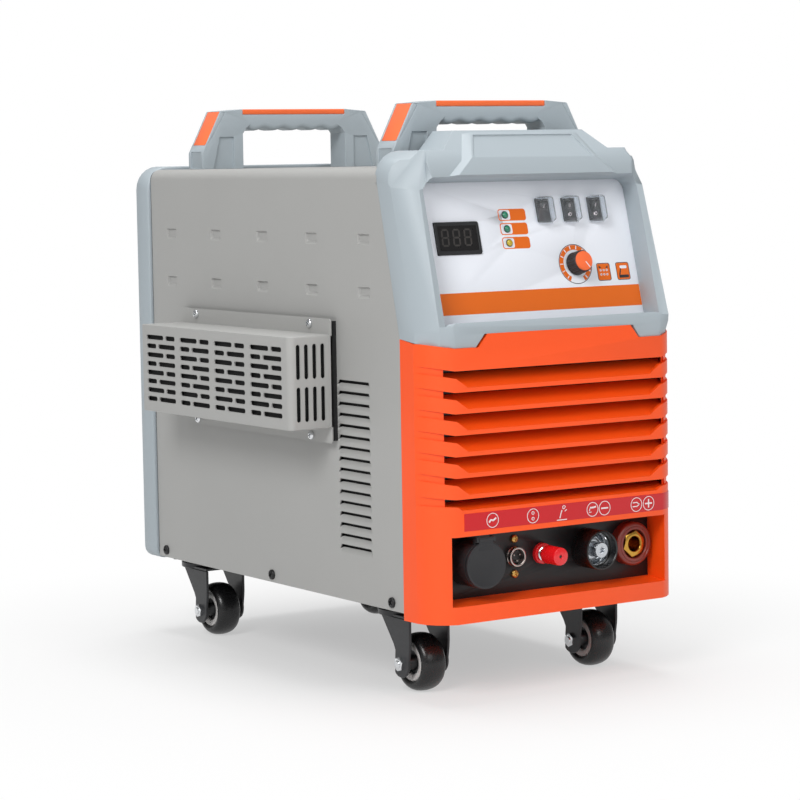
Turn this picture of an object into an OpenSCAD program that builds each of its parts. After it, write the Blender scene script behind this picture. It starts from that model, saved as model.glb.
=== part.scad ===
// Wheeled plasma cutter unit: a sheet steel cabinet with moulded ends, two carrying handles, a side vent hood,
// a leaning control panel, a recessed connector panel and four swivel casters.
// Cabinet coordinates: x = 0 at the middle, y = 0 at the cover's front edge, z = 0 at the cover's lower edge.
// row() moves every node so that the bottom centre of the whole unit lies at the origin.

/* [Cabinet] */
// Outside width of the sheet cover
cabinet_width = 262; // [250:1:280]
// Length of the sheet cover from its lower front edge to its rear edge
cabinet_depth = 423; // [415:1:450]
// Height of the sheet cover above its lower edge
cabinet_height = 370; // [366:1:378]
// Thickness of the cover's sheet steel
sheet = 1.2; // [0.8:0.1:1.6]
// Bend radius along the cover's two top edges
cover_bend = 10; // [6:1:14]
// Thickness of the base pan's steel
pan_sheet = 1.6; // [1:0.1:2.5]
// Height of the base pan's upturned sides
pan_height = 16; // [14:1:22]

/* [Cover pressings] */
// Columns of pressed dimples on each side
dimple_columns = 5; // [3:1:5]
// Distance between dimple columns
dimple_pitch = 82.8; // [70:0.1:84]
// Height of the lower dimple row
dimple_low_z = 265.4; // [258:0.1:275]
// Height of the upper dimple row
dimple_high_z = 310; // [295:0.1:325]
// Length of a dimple
dimple_length = 17; // [10:0.5:22]
// Height of a dimple
dimple_height = 9; // [6:0.5:12]
// Depth of a dimple
dimple_depth = 0.6; // [0.3:0.1:0.7]
// Louvres in each side's column
louvre_count = 16; // [8:1:17]
// Distance between louvres
louvre_pitch = 9.46; // [8.6:0.01:10]
// Length of a louvre
louvre_length = 47; // [30:1:52]
// Height of a louvre's slit
louvre_slit = 2; // [1:0.1:2.4]
// How far a louvre's lip stands out
louvre_lip = 1.8; // [1:0.1:2.4]
// Height of the bent lip below a slit
louvre_fade = 6; // [4:0.1:6.2]

/* [Front mouldings] */
// How far the front mouldings reach ahead of the cover
front_depth = 41; // [38:1:46]
// Wall of the front mouldings
front_wall = 3; // [2:0.1:3.5]
// Height of the upper moulding, from the seam to the cover's top
bezel_height = 137; // [132:1:142]
// How much lower the seam runs at the corners
seam_drop = 11; // [8:1:14]
// Lean of the upper moulding's front face
lean_angle = 14.6; // [12:0.1:17]
// Lean of the cover's front edge above the seam
cover_lean = 13.4; // [12:0.1:14]
// Depth of the control recess
control_depth = 20; // [16:0.5:22]
// Half width of the control recess
control_half = 112.5; // [106:0.5:113]
// Lower edge of the control recess, measured up the leaning face
control_low = 10; // [8:0.5:14]
// Upper edge of the control recess, measured up the leaning face
control_high = 133; // [128:0.5:134]
// Slanting slots in the lower moulding
slot_count = 7; // [4:1:7]
// Height of the band between the seam and the highest slot
slot_band = 29.8; // [26:0.1:34]
// Height of the lowest slot's upper edge above the sill
slot_rise = 9.7; // [8:0.1:12]
// Height of a slot's opening
slot_gap = 4.5; // [3:0.1:6]
// How far a slat leans in from the front face
slat_lean = 9; // [6:0.5:11]
// Depth of the connector recess
recess_depth = 20; // [17:0.5:22]
// Half width of the connector recess
recess_half = 112; // [108:0.5:112.5]
// Lower edge of the connector recess
recess_low = 10.5; // [8:0.5:12]
// Upper edge of the connector recess
recess_high = 66.5; // [66:0.5:67.5]

/* [Handles] */
// Thickness of a handle along the cabinet
handle_thick = 27; // [24:0.5:30]
// Half width of a handle at the cover
handle_half = 102; // [95:1:106]
// Height of a handle's top above the cover
handle_rise = 56; // [50:1:62]
// Half width of the finger window
window_half = 57.5; // [52:0.5:62]
// Height of the finger window
window_rise = 37; // [33:0.5:39]
// Thickness of the soft inserts
insert_thick = 5; // [3:0.5:6]

/* [Vent hood] */
// How far the hood stands out from the cover
hood_reach = 49; // [44:1:54]
// Front edge of the hood
hood_front = 95.5; // [95:0.5:104]
// Length of the hood's box
hood_length = 260; // [250:1:264]
// Lower edge of the hood's box
hood_low = 148.5; // [144:0.5:150]
// Height of the hood's box
hood_height = 80; // [76:1:84]
// Height of the flange above and below the box
hood_flange = 13.5; // [11:0.5:15]
// Thickness of the foam gasket
gasket_thick = 6; // [4:0.5:7]

/* [Casters] */
// Diameter of a wheel
wheel_diameter = 50; // [44:1:52]
// Width of a wheel's tread
wheel_width = 24; // [20:1:28]
// Height of the wheel axle below the cover's lower edge
axle_drop = 50.2; // [46:0.1:54]
// Distance from swivel axis to wheel axle
caster_trail = 22; // [18:0.5:24]
// Half distance between the left and right casters
caster_half = 91; // [84:1:94]
// Distance from the front casters' swivel axis to the cover's front edge
caster_front = 57; // [52:1:62]
// Distance from the rear casters' swivel axis to the cover's rear edge
caster_rear = 21.5; // [21.2:0.1:30]

/* [Connectors] */
// Middle of the power outlet, to the left of the centre
outlet_x = -79.5; // [-84:0.5:-76]
// Outside diameter of the power outlet's collar
outlet_diameter = 40; // [36:0.5:41]
// Middle of the torch trigger socket
trigger_x = -32; // [-36:0.5:-28]
// Middle of the pilot arc binding post
pilot_x = -3.5; // [-7:0.5:0]
// Diameter of the binding post's head
pilot_diameter = 16; // [13:0.5:18]
// Middle of the torch connector
torch_x = 45.5; // [42:0.5:48]
// Outside diameter of the torch connector's shroud
torch_diameter = 34; // [31:0.5:36]
// Diameter of the torch connector's stud
torch_stud = 13; // [11:0.5:14]
// Middle of the work lead socket
earth_x = 90.5; // [88:0.5:92]
// Outside diameter of the work lead socket's insulator
earth_diameter = 38; // [34:0.5:39]
// Bore of the work lead socket
earth_bore = 13.4; // [12:0.1:14]
// Height of the connectors' common axis
connector_z = 41; // [40:0.5:42]

/* [Fits] */
// Radial clearance of a running shaft
running = 0.05; // [0.02:0.01:0.08]
// Side clearance between a moving piece and its housing
side_gap = 0.3; // [0.2:0.05:0.4]
// Clearance around a fixed piece in its cut-out
cut_gap = 0.1; // [0.05:0.05:0.2]

/* [Hidden] */
$fn = 48;
eps = 0.01;
half = cabinet_width / 2;

grey_sheet = "#A4A4A0";
grey_plastic = "#A5AFB5";
orange_plastic = "#FF6426";
black_steel = "#1E1E20";
zinc = "#C9CBCE";
brass = "#C9A24B";
board_green = "#2E6B45";

// Mouldings
front_y = -front_depth;
seam_z = cabinet_height - bezel_height;
corner_side = 26;
corner_back = 19;
corner_mid = [18, 14];
grille_bottom = -6;
seam_side_rise = 7;
seam_side_z = seam_z - seam_drop + seam_side_rise;
seam_in = 75;
seam_out = 84;
shoulder_rise = 14;
shoulder_z = cabinet_height + shoulder_rise;
shoulder_in = 43;
shoulder_x = half - shoulder_in;
hump_in = 60;
hump_x = half - hump_in;
hump_rise = 30;
hump_z = cabinet_height + hump_rise;
crease_rise = 5;
crease_z = cabinet_height + crease_rise;
crown_run = 0.64;
bezel_corner = 16;
seat_y = front_y + recess_depth;
control_face = -control_depth;
panel_plate = 2;
panel_overlap = 2.5;
seat_plate = 1.5;

// Rear end
rear_out = 3;
rear_length = 24;
rear_corner = 22;
rear_foot_corner = 10;
rear_rim = 8;
rear_y = cabinet_depth;
rear_plate_y = rear_y - sheet;

// Fan, mounted inside the rear plate
fan_size = 120;
fan_length = 38;
fan_z = 215;
fan_bore = 114;
fan_hub = 40;
fan_shaft = 6;
fan_blades = 7;

// Fittings behind the rear plate
fitting_in = 46;
inlet_x = half - fitting_in;
inlet_z = 60;
inlet_reach = 46;
gland_x = fitting_in - half;
gland_z = 60;
gland_reach = 38;
breaker_in = 49;
breaker_x = breaker_in - half;
breaker_drop = 52;
breaker_z = cabinet_height - breaker_drop;
breaker_size = [40, 58];
breaker_depth = 50;
breaker_face = 6;
toggle_pivot = 4;
toggle_tilt = 20;

// Row frame
pilot_reach = 28;
front_most = seat_y - pilot_reach;
rear_most = rear_y + inlet_reach;
right_most = half + rear_out;
left_most = -half - hood_reach;
ground_z = -axle_drop - wheel_diameter / 2;
row_shift = [-(left_most + right_most) / 2, -(front_most + rear_most) / 2, -ground_z];

module row() {
  translate(row_shift)
    children();
}

// Extrudes an x-z outline from y0 to y1.
module along_y(y0, y1) {
  translate([0, y1, 0])
    rotate([90, 0, 0])
      linear_extrude(y1 - y0)
        children();
}

// Extrudes a y-z outline from x0 to x1.
module along_x(x0, x1) {
  translate([x0, 0, 0])
    rotate([90, 0, 90])
      linear_extrude(x1 - x0)
        children();
}

// Both sides of the cabinet.
module both_sides() {
  children();
  mirror([1, 0, 0])
    children();
}

// Frame of the leaning face: x across, y up the slope, z out of the face.
module lean() {
  translate([0, front_y, seam_z])
    rotate([90 - lean_angle, 0, 0])
      children();
}

// Frame of a connector: origin on the connector panel's face, z out of the panel.
module connector(x, z) {
  translate([x, seat_y, z])
    rotate([90, 0, 0])
      children();
}

// Frame of a rear fitting: origin on the rear plate's outer face, z out to the rear.
module rear_fitting(x, z) {
  translate([x, rear_y, z])
    rotate([-90, 0, 0])
      children();
}

// A box given by its lower and upper corners.
module block(low, high) {
  translate(low)
    cube(high - low);
}

// A ring or tube.
module tube(outer, inner, length) {
  difference() {
    cylinder(d = outer, h = length);
    translate([0, 0, -eps])
      cylinder(d = inner, h = length + 2 * eps);
  }
}

function arc(x, y, r, from, to, steps = 6) = [
  for (i = [0:steps])
    let(a = from + (to - from) * i / steps)
    [x + r * cos(a), y + r * sin(a)]
];

function outward(a, b) = [b.y - a.y, a.x - b.x] / norm(b - a);

// Moves each side of a counter-clockwise outline inwards by d.
function inset(pts, d) = [
  for (i = [0:len(pts) - 1])
    let(n = len(pts))
    let(before = outward(pts[(i + n - 1) % n], pts[i]))
    let(after = outward(pts[i], pts[(i + 1) % n]))
    pts[i] - d * (before + after) / (1 + before * after)
];

// Outline of a slot with round ends, centred on the origin.
function slot_outline(length, height) = concat(
  arc((length - height) / 2, 0, height / 2, -90, 90, 4),
  arc((height - length) / 2, 0, height / 2, 90, 270, 4)
);

// Cover

dimple_y = 52.8;
louvre_y = 47;
louvre_z = 189;
case_screw = 4;
case_screw_z = 7;
case_screw_in = [17, 16];
case_screw_y = [case_screw_in[0], cabinet_depth / 2, cabinet_depth - case_screw_in[1]];
hood_screw = 4;
hood_screw_in = [33, 29];
hood_screw_y = [hood_front + hood_screw_in[0], hood_front + hood_length - hood_screw_in[1]];
hood_screw_out = 8.5;
hood_screw_z = [hood_low - hood_screw_out, hood_low + hood_height + hood_screw_out];
vent_margin = 13;

function cover_outline() = concat(
  [[-half, 0], [half, 0]],
  arc(half - cover_bend, cabinet_height - cover_bend, cover_bend, 0, 90),
  arc(-half + cover_bend, cabinet_height - cover_bend, cover_bend, 90, 180)
);

// The cover's length, trimmed along its leaning front edge.
module cover_side_view() {
  polygon([
    [0, -eps],
    [cabinet_depth + eps, -eps],
    [cabinet_depth + eps, cabinet_height + eps],
    [(cabinet_height - seam_side_z) * tan(cover_lean), cabinet_height + eps],
    [0, seam_side_z]
  ]);
}

module dimples() {
  for (z = [dimple_low_z, dimple_high_z])
    for (i = [0:dimple_columns - 1])
      translate([0, dimple_y + i * dimple_pitch, z])
        along_x(half - dimple_depth, half + eps)
          polygon(slot_outline(dimple_length, dimple_height));
}

module louvre_holes() {
  for (i = [0:louvre_count - 1])
    translate([0, louvre_y, louvre_z - i * louvre_pitch - louvre_fade])
      block([half - sheet - eps, 0, 0], [half + eps, louvre_length, louvre_fade + louvre_slit]);
}

module louvre_lips() {
  for (i = [0:louvre_count - 1])
    translate([half - sheet, louvre_y, louvre_z - i * louvre_pitch - louvre_fade])
      along_y(0, louvre_length)
        polygon([
          [0, 0],
          [sheet, 0],
          [sheet + louvre_lip, louvre_fade],
          [louvre_lip, louvre_fade]
        ]);
}

// Shank holes for the case screws through both side walls.
module case_screw_holes() {
  for (y = case_screw_y)
    translate([-half - eps, y, case_screw_z])
      rotate([0, 90, 0])
        cylinder(d = case_screw + 2 * cut_gap, h = cabinet_width + 2 * eps);
}

// Shank holes for the hood's screws, from the hood's flange through the cover.
module hood_screw_holes() {
  for (y = hood_screw_y)
    for (z = hood_screw_z)
      translate([-half - gasket_thick - 2 * sheet, y, z])
        rotate([0, 90, 0])
          cylinder(d = hood_screw + 2 * cut_gap, h = gasket_thick + 4 * sheet);
}

// Air opening behind the hood.
module vent_window(x0, x1) {
  block(
    [x0, hood_front + vent_margin, hood_low + vent_margin],
    [x1, hood_front + hood_length - vent_margin, hood_low + hood_height - vent_margin]
  );
}

module cover() {
  color(grey_sheet)
    row()
      difference() {
        union() {
          difference() {
            intersection() {
              along_y(0, cabinet_depth)
                difference() {
                  polygon(cover_outline());
                  polygon(inset(cover_outline(), sheet));
                  translate([-half + sheet, -eps])
                    square([cabinet_width - 2 * sheet, sheet + 2 * eps]);
                }
              along_x(-half - eps, half + eps)
                cover_side_view();
            }
            both_sides() {
              dimples();
              louvre_holes();
            }
          }
          both_sides()
            louvre_lips();
        }
        case_screw_holes();
        hood_screw_holes();
        vent_window(-half - eps, -half + sheet + eps);
      }
}

pan_half = half - sheet;
pan_length = rear_plate_y;

module base_pan() {
  color(black_steel)
    row()
      difference() {
        block([-pan_half, 0, 0], [pan_half, pan_length, pan_height]);
        block(
          [-pan_half + pan_sheet, pan_sheet, pan_sheet],
          [pan_half - pan_sheet, pan_length - pan_sheet, pan_height + eps]
        );
        case_screw_holes();
      }
}

screw_head = 9;
screw_head_rise = 2.6;
screw_shank = 8;
screw_taper = 0.7;
cross_length = 0.56;
cross_width = 0.12;

// A pan-head screw: its shank points down, its head stands on z = 0 and has a cross recess.
module pan_screw(head, rise, shank, length) {
  difference() {
    union() {
      cylinder(d1 = head, d2 = head * screw_taper, h = rise);
      translate([0, 0, -length])
        cylinder(d = shank, h = length + eps);
    }
    for (a = [0, 90])
      rotate(a)
        translate([-head * cross_length / 2, -head * cross_width / 2, rise / 2])
          cube([head * cross_length, head * cross_width, rise]);
  }
}

module case_screws() {
  color(black_steel)
    row()
      both_sides()
        for (y = case_screw_y)
          translate([half, y, case_screw_z])
            rotate([0, 90, 0])
              pan_screw(screw_head, screw_head_rise, case_screw, screw_shank);
}

// Front mouldings

// Horizontal section of both mouldings: straight sides and two folds at each front corner.
function plan_outline(back) = [
  [-half, -front_depth + corner_back],
  [-half + corner_mid.x, -front_depth + corner_back - corner_mid.y],
  [-half + corner_side, -front_depth],
  [half - corner_side, -front_depth],
  [half - corner_mid.x, -front_depth + corner_back - corner_mid.y],
  [half, -front_depth + corner_back],
  [half, back],
  [-half, back]
];

// Everything below the seam between the two mouldings.
module below_seam() {
  reach = front_depth + eps;
  low = grille_bottom - 1;
  corner_z = seam_z - seam_drop;
  along_x(-half - eps, half + eps)
    polygon([
      [-reach, low],
      [1, low],
      [1, seam_side_z],
      [0, seam_side_z],
      [-front_depth + corner_back, corner_z],
      [-reach, corner_z]
    ]);
  along_y(-reach, 1)
    polygon([
      [-seam_out, low],
      [seam_out, low],
      [seam_out, corner_z],
      [seam_in, seam_z],
      [-seam_in, seam_z],
      [-seam_out, corner_z]
    ]);
}

slat_half = 97;
slat_flare = 12;
slot_half = 113;
slat_thick = 3;
step_depth = 1;
step_end = 12;
sill_rise = 21;
sill_z = recess_high + sill_rise;
slot_top = seam_z - slot_band;
slot_pitch = (slot_top - sill_z - slot_rise) / (slot_count - 1);
recess_wall = 3;
recess_lip = 2;
lower_rib = 3;

// One slanting slat below a slot whose upper edge is at z; its face runs down and out to low_z.
module slat(z, low_z) {
  along_x(-slat_half - slat_flare, slat_half + slat_flare)
    polygon([
      [front_y, low_z],
      [front_y + slat_thick, low_z],
      [front_y + slat_lean + slat_thick, z - slot_gap],
      [front_y + slat_lean, z - slot_gap]
    ]);
}

// The wall between the lowest slot and the highest, cut away with slanting ends.
module slat_window() {
  depth = slat_lean + slat_thick;
  for (i = [0:slot_count - 1]) {
    high_z = slot_top - i * slot_pitch;
    low_z = max(high_z - slot_pitch, sill_z);
    block(
      [-slat_half, front_y - eps, low_z],
      [slat_half, front_y + depth, high_z]
    );
    block(
      [-slot_half, front_y - eps, high_z - slot_gap],
      [slot_half, front_y + depth, high_z]
    );
  }
}

// Shallow steps that carry the slots' lines round the corners.
module corner_steps() {
  for (i = [0:slot_count - 1])
    translate([0, 0, slot_top - i * slot_pitch - slot_gap])
      linear_extrude(slot_gap)
        difference() {
          translate([-half - eps, front_y - eps])
            square([cabinet_width + 2 * eps, front_depth - step_end + eps]);
          polygon(inset(plan_outline(1), step_depth));
          translate([-slot_half, front_y - 2 * eps])
            square([2 * slot_half, front_depth]);
        }
}

module front_grille() {
  inner = inset(plan_outline(front_wall + 1), front_wall);
  color(orange_plastic)
    row()
      difference() {
        intersection() {
          union() {
            difference() {
              translate([0, 0, grille_bottom])
                linear_extrude(seam_z + 1 - grille_bottom)
                  polygon(plan_outline(0));
              translate([0, 0, grille_bottom + lower_rib])
                linear_extrude(seam_z - grille_bottom)
                  polygon(inner);
              slat_window();
              corner_steps();
            }
            for (i = [0:slot_count - 1]) {
              high_z = slot_top - i * slot_pitch;
              slat(high_z, max(high_z - slot_pitch, sill_z));
            }
            intersection() {
              block(
                [-recess_half - recess_wall, front_y, recess_low - recess_wall],
                [recess_half + recess_wall, seat_y, recess_high + recess_wall]
              );
              translate([0, 0, grille_bottom])
                linear_extrude(cabinet_height)
                  polygon(plan_outline(0));
            }
          }
          below_seam();
        }
        along_x(-recess_half, recess_half)
          polygon([
            [front_y - eps, recess_low - recess_lip],
            [seat_y + eps, recess_low],
            [seat_y + eps, recess_high],
            [front_y - eps, recess_high]
          ]);
      }
}

// Front view of the upper moulding: shoulders and the raised crown between them.
function bezel_outline() = concat(
  [[-half, seam_z - seam_drop - 1], [half, seam_z - seam_drop - 1]],
  arc(half - bezel_corner, shoulder_z - bezel_corner, bezel_corner, 0, 90, 5),
  [[shoulder_x, shoulder_z], [hump_x, hump_z], [-hump_x, hump_z], [-shoulder_x, shoulder_z]],
  arc(-half + bezel_corner, shoulder_z - bezel_corner, bezel_corner, 90, 180, 5)
);

hollow_back = 60;
control_corner = 9;
crown_reach = 5;
low_crown_z = crease_z - ((crease_z - seam_z) * tan(lean_angle) + crown_reach) / crown_run;

function seat_line_y(z) = (z - seam_side_z) * tan(cover_lean);

function crown_line_y(z) = front_y + (crease_z - seam_z) * tan(lean_angle) + (z - crease_z) * crown_run;

// Side view of the upper moulding: seated on the cover's leaning edge and folded back above the crease.
function bezel_side() = [
  [crown_line_y(low_crown_z), seam_z - seam_drop - 1],
  [0, seam_z - seam_drop - 1],
  [0, seam_side_z],
  [seat_line_y(hump_z), hump_z],
  [crown_line_y(hump_z), hump_z],
  [crown_line_y(low_crown_z), low_crown_z]
];

// Side view of its hollow, which is open at the back as far up as the cover reaches.
function hollow_side() = [
  [crown_line_y(low_crown_z), 0],
  [hollow_back, 0],
  [hollow_back, cabinet_height - sheet],
  [seat_line_y(cabinet_height) - front_wall, cabinet_height - sheet],
  [seat_line_y(hump_z) - front_wall, hump_z - front_wall],
  [crown_line_y(hump_z - front_wall) + front_wall, hump_z - front_wall],
  [crown_line_y(low_crown_z) + front_wall, low_crown_z]
];

module bezel_solid(d, side) {
  section = inset(plan_outline(hollow_back), d);
  intersection() {
    linear_extrude(hump_z + 1)
      polygon(section);
    along_y(front_y - 1, hollow_back)
      polygon(inset(bezel_outline(), d));
    along_x(-half - 1, half + 1)
      polygon(side);
    lean()
      translate([0, 2 * control_high, 0])
        rotate([90, 0, 0])
          linear_extrude(3 * control_high)
            polygon([for (p = section) [p.x, front_y - p.y]]);
  }
}

// Opening of the control recess, drawn on the leaning face.
module control_opening() {
  linear_extrude(control_depth + 2 * eps)
    polygon(concat(
      [[-control_half, control_low], [control_half, control_low]],
      arc(control_half - control_corner, control_high - control_corner, control_corner, 0, 90, 4),
      arc(control_corner - control_half, control_high - control_corner, control_corner, 90, 180, 4)
    ));
}

module front_bezel() {
  wall = control_half + front_wall;
  color(grey_plastic)
    row()
      difference() {
        bezel_solid(0, bezel_side());
        difference() {
          bezel_solid(front_wall, hollow_side());
          lean()
            block(
              [-wall, control_low - front_wall, control_face],
              [wall, control_high + front_wall, 1]
            );
        }
        lean()
          translate([0, 0, control_face - eps])
            control_opening();
        below_seam();
      }
}

// Rear frame and rear plate

function rear_outline() = concat(
  arc(half + rear_out - rear_foot_corner, rear_foot_corner - rear_out, rear_foot_corner, -90, 0, 4),
  arc(half + rear_out - rear_corner, cabinet_height + rear_out - rear_corner, rear_corner, 0, 90, 6),
  arc(-half - rear_out + rear_corner, cabinet_height + rear_out - rear_corner, rear_corner, 90, 180, 6),
  arc(-half - rear_out + rear_foot_corner, rear_foot_corner - rear_out, rear_foot_corner, 180, 270, 4)
);

module rear_frame() {
  color(grey_plastic)
    row()
      along_y(rear_y, rear_y + rear_length)
        difference() {
          polygon(rear_outline());
          polygon(inset(rear_outline(), rear_rim));
        }
}

// Ring slots of the fan guard, with four spokes left between them.
module fan_guard_slots() {
  ring = 5;
  spoke = 6;
  linear_extrude(sheet + 2 * eps)
    for (r = [fan_hub / 2 : 2 * ring : fan_bore / 2 - ring])
      difference() {
        circle(r + ring);
        circle(r);
        square([fan_bore, spoke], center = true);
        square([spoke, fan_bore], center = true);
      }
}

module rear_panel() {
  color(grey_sheet)
    row()
      difference() {
        along_y(rear_plate_y, rear_y)
          polygon(inset(cover_outline(), sheet + cut_gap));
        translate([0, rear_plate_y - eps, fan_z])
          rotate([-90, 0, 0])
            fan_guard_slots();
        rear_fitting(gland_x, gland_z)
          translate([0, 0, -sheet - eps])
            cylinder(d = gland_thread + 2 * cut_gap, h = sheet + 2 * eps);
        rear_fitting(inlet_x, inlet_z)
          translate([0, 0, -sheet - eps])
            cylinder(d = inlet_thread + 2 * cut_gap, h = sheet + 2 * eps);
        translate([breaker_x, 0, breaker_z])
          block(
            [-breaker_size.x / 2 - cut_gap, rear_plate_y - eps, -breaker_size.y / 2 - cut_gap],
            [breaker_size.x / 2 + cut_gap, rear_y + eps, breaker_size.y / 2 + cut_gap]
          );
      }
}

// Handles

handle_top = cabinet_height + handle_rise;
handle_bend = 15;
handle_bend_z = cabinet_height + handle_bend;
handle_step = 22;
handle_step_z = cabinet_height + handle_step;
handle_slant = 0.52;
handle_arch = 2;
grip_waves = 5;
wave_depth = 1.2;
window_corner = 4;
insert_bevel = 1;
window_top = cabinet_height + window_rise;
leg_wall = 3.5;
front_handle_y = 48;
rear_handle_in = 51;
rear_handle_y = cabinet_depth - rear_handle_in;

function handle_side_x(z) = handle_half - max(0, z - handle_bend_z) * handle_slant;

function handle_outline() = [
  [-handle_half, cabinet_height],
  [handle_half, cabinet_height],
  [handle_half, handle_bend_z],
  [handle_side_x(handle_top - handle_arch), handle_top - handle_arch],
  [window_half, handle_top],
  [-window_half, handle_top],
  [-handle_side_x(handle_top - handle_arch), handle_top - handle_arch],
  [-handle_half, handle_bend_z]
];

// The finger window, waved along its upper edge.
function handle_window() = concat(
  [
    [-window_half, cabinet_height - eps],
    [window_half, cabinet_height - eps],
    [window_half, window_top - window_corner]
  ],
  [
    for (i = [0:6 * grip_waves])
      let(s = 1 - i / (3 * grip_waves))
      [s * (window_half - window_corner), window_top - wave_depth * cos(180 * grip_waves * s)]
  ],
  [[-window_half, window_top - window_corner]]
);

// Strips for the fingers' comfort: one along the grip, one on each slanting end.
module insert_outline() {
  polygon([
    [-window_half, handle_top - insert_thick],
    [window_half, handle_top - insert_thick],
    [window_half, handle_top],
    [-window_half, handle_top]
  ]);
  for (s = [-1, 1])
    polygon([
      [s * handle_side_x(handle_step_z), handle_step_z],
      [s * handle_side_x(handle_top - handle_arch), handle_top - handle_arch],
      [
        s * (handle_side_x(handle_top - handle_arch) - insert_thick),
        handle_top - handle_arch - insert_bevel
      ],
      [s * (handle_side_x(handle_step_z) - insert_thick), handle_step_z + insert_thick]
    ]);
}

module handle_at(y) {
  color(grey_plastic)
    row()
      difference() {
        along_y(y, y + handle_thick)
          difference() {
            polygon(handle_outline());
            polygon(handle_window());
            insert_outline();
          }
        both_sides()
          block(
            [window_half + leg_wall, y + leg_wall, cabinet_height - eps],
            [handle_half - leg_wall, y + handle_thick - leg_wall, handle_bend_z]
          );
      }
}

module handle_inserts_at(y) {
  color(orange_plastic)
    row()
      along_y(y, y + handle_thick)
        insert_outline();
}

module front_handle() {
  handle_at(front_handle_y);
}

module rear_handle() {
  handle_at(rear_handle_y);
}

module front_handle_inserts() {
  handle_inserts_at(front_handle_y);
}

module rear_handle_inserts() {
  handle_inserts_at(rear_handle_y);
}

// Vent hood

hood_back = -half - gasket_thick;
hood_face = -half - hood_reach;
hood_bend = 6;
hood_end_margin = 4;
hood_rows = 8;
hood_row_pitch = 8.1;
hood_slot = 3.7;
hood_long = 29;
hood_short = 16;
hood_web = 3.5;
hood_group_pitch = 62;
hood_groups = 4;
hood_slot_in = [10, 13];
hood_end_in = 6.8;
gasket_in = 2;
hood_end_slots = 4;
hood_end_first = 1;
hood_end_rest = 4.2;
hood_end_pitch = (hood_reach - gasket_thick - hood_bend - hood_end_rest) / hood_end_slots;
hood_end_slot = 4.1;
hood_end_height = 30;

function hood_plan() = concat(
  [[hood_back - sheet, hood_front + hood_length], [hood_face, hood_front + hood_length]],
  arc(hood_face + hood_bend, hood_front + hood_bend, hood_bend, 180, 270),
  [[hood_back - sheet, hood_front]]
);

// Rows of one long and one short slot per group, their order changing from row to row.
module hood_face_slots() {
  first_y = hood_front + hood_slot_in.x;
  first_z = hood_low + hood_slot_in.y;
  for (r = [0:hood_rows - 1])
    for (g = [0:hood_groups - 1]) {
      long_first = r % 2 == 0;
      a = long_first ? hood_long : hood_short;
      b = long_first ? hood_short : hood_long;
      z = first_z + r * hood_row_pitch;
      translate([hood_face - eps, first_y + g * hood_group_pitch, z - hood_slot / 2]) {
        cube([sheet + 2 * eps, a, hood_slot]);
        translate([0, a + hood_web, 0])
          cube([sheet + 2 * eps, b, hood_slot]);
      }
    }
}

module hood_end_slots() {
  for (i = [0:hood_end_slots - 1])
    for (z = [hood_low + hood_end_in, hood_low + hood_height - hood_end_in - hood_end_height])
      translate([hood_face + hood_bend + hood_end_first + i * hood_end_pitch, hood_front - eps, z])
        cube([hood_end_slot, sheet + 2 * eps, hood_end_height]);
}

module vent_hood() {
  color(grey_sheet)
    row()
      difference() {
        union() {
          block(
            [hood_back - sheet, hood_front, hood_low - hood_flange],
            [hood_back, hood_front + hood_length + hood_end_margin, hood_low + hood_height + hood_flange]
          );
          translate([0, 0, hood_low])
            linear_extrude(hood_height)
              polygon(hood_plan());
        }
        translate([0, 0, hood_low + sheet])
          linear_extrude(hood_height - 2 * sheet)
            polygon(inset(hood_plan(), sheet));
        block(
          [hood_back - sheet - sheet, hood_front + sheet, hood_low + sheet],
          [hood_back + eps, hood_front + hood_length - sheet, hood_low + hood_height - sheet]
        );
        hood_face_slots();
        hood_end_slots();
        hood_screw_holes();
      }
}

module hood_gasket() {
  border = hood_flange - gasket_in;
  color(black_steel)
    row()
      difference() {
        block(
          [hood_back, hood_front + gasket_in, hood_low - border],
          [-half, hood_front + hood_length + gasket_in, hood_low + hood_height + border]
        );
        vent_window(hood_back - eps, -half + eps);
        hood_screw_holes();
      }
}

seat_screw = 3.4;
seat_screw_head = 7;
seat_screw_span = 30;
seat_screw_tail = 3;
hood_screw_head = 8;

module panel_screws() {
  color(zinc)
    row() {
      for (y = hood_screw_y)
        for (z = hood_screw_z)
          translate([hood_back - sheet, y, z])
            rotate([0, -90, 0])
              pan_screw(hood_screw_head, screw_head_rise, hood_screw, gasket_thick + 3 * sheet);
      for (s = [-1, 1])
        connector(trigger_x, connector_z + s * seat_screw_span / 2)
          pan_screw(seat_screw_head, screw_head_rise, seat_screw, seat_plate + seat_screw_tail);
    }
}

// Control panel, in the frame of the leaning face

board_gap = 20;
board_face = control_face - board_gap;
display_u = -71.4;
display_v = 85;
display_size = [45.4, 28];
lens_rise = 0.6;
display_rim = 4;
lamp_u = -19;
lamp_v = [79.4, 91.6, 103.8];
lamp_diameter = 6;
lamp_rise = 2.4;
lamp_flange = 3;
switch_u = [21.5, 49.4, 77.3];
switch_v = 106.6;
boot_size = [15.8, 22.4, 9];
boot_wall = 1;
switch_body = [11.8, 17.8];
switch_flange = 1.5;
cavity = [9.4, 15.8];
cavity_depth = 9;
rocker_pivot = 1;
rocker_rise = 3.4;
rocker_half = 6.9;
rocker_tilt = 12;
rocker_pin = 2;
rocker_keel = [2, 3];
rocker_edge = 1;
knob_u = 47;
knob_v = 58.8;
knob_diameter = 20.5;
knob_height = 12;
knob_flutes = 10;
knob_cap_rise = 1.8;
knob_skirt = 3;
flute = 2.4;
flute_out = 0.6;
cap_rim = 2;
pointer = 1.2;
pointer_rise = 0.4;
pointer_in = 1;
shaft = 6;
bush = 9;
pot_diameter = 24;
pot_depth = 12;

// Places children at a point of the control panel's face, z out of the panel.
module on_control(u, v) {
  lean()
    translate([u, v, control_face])
      children();
}

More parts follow.
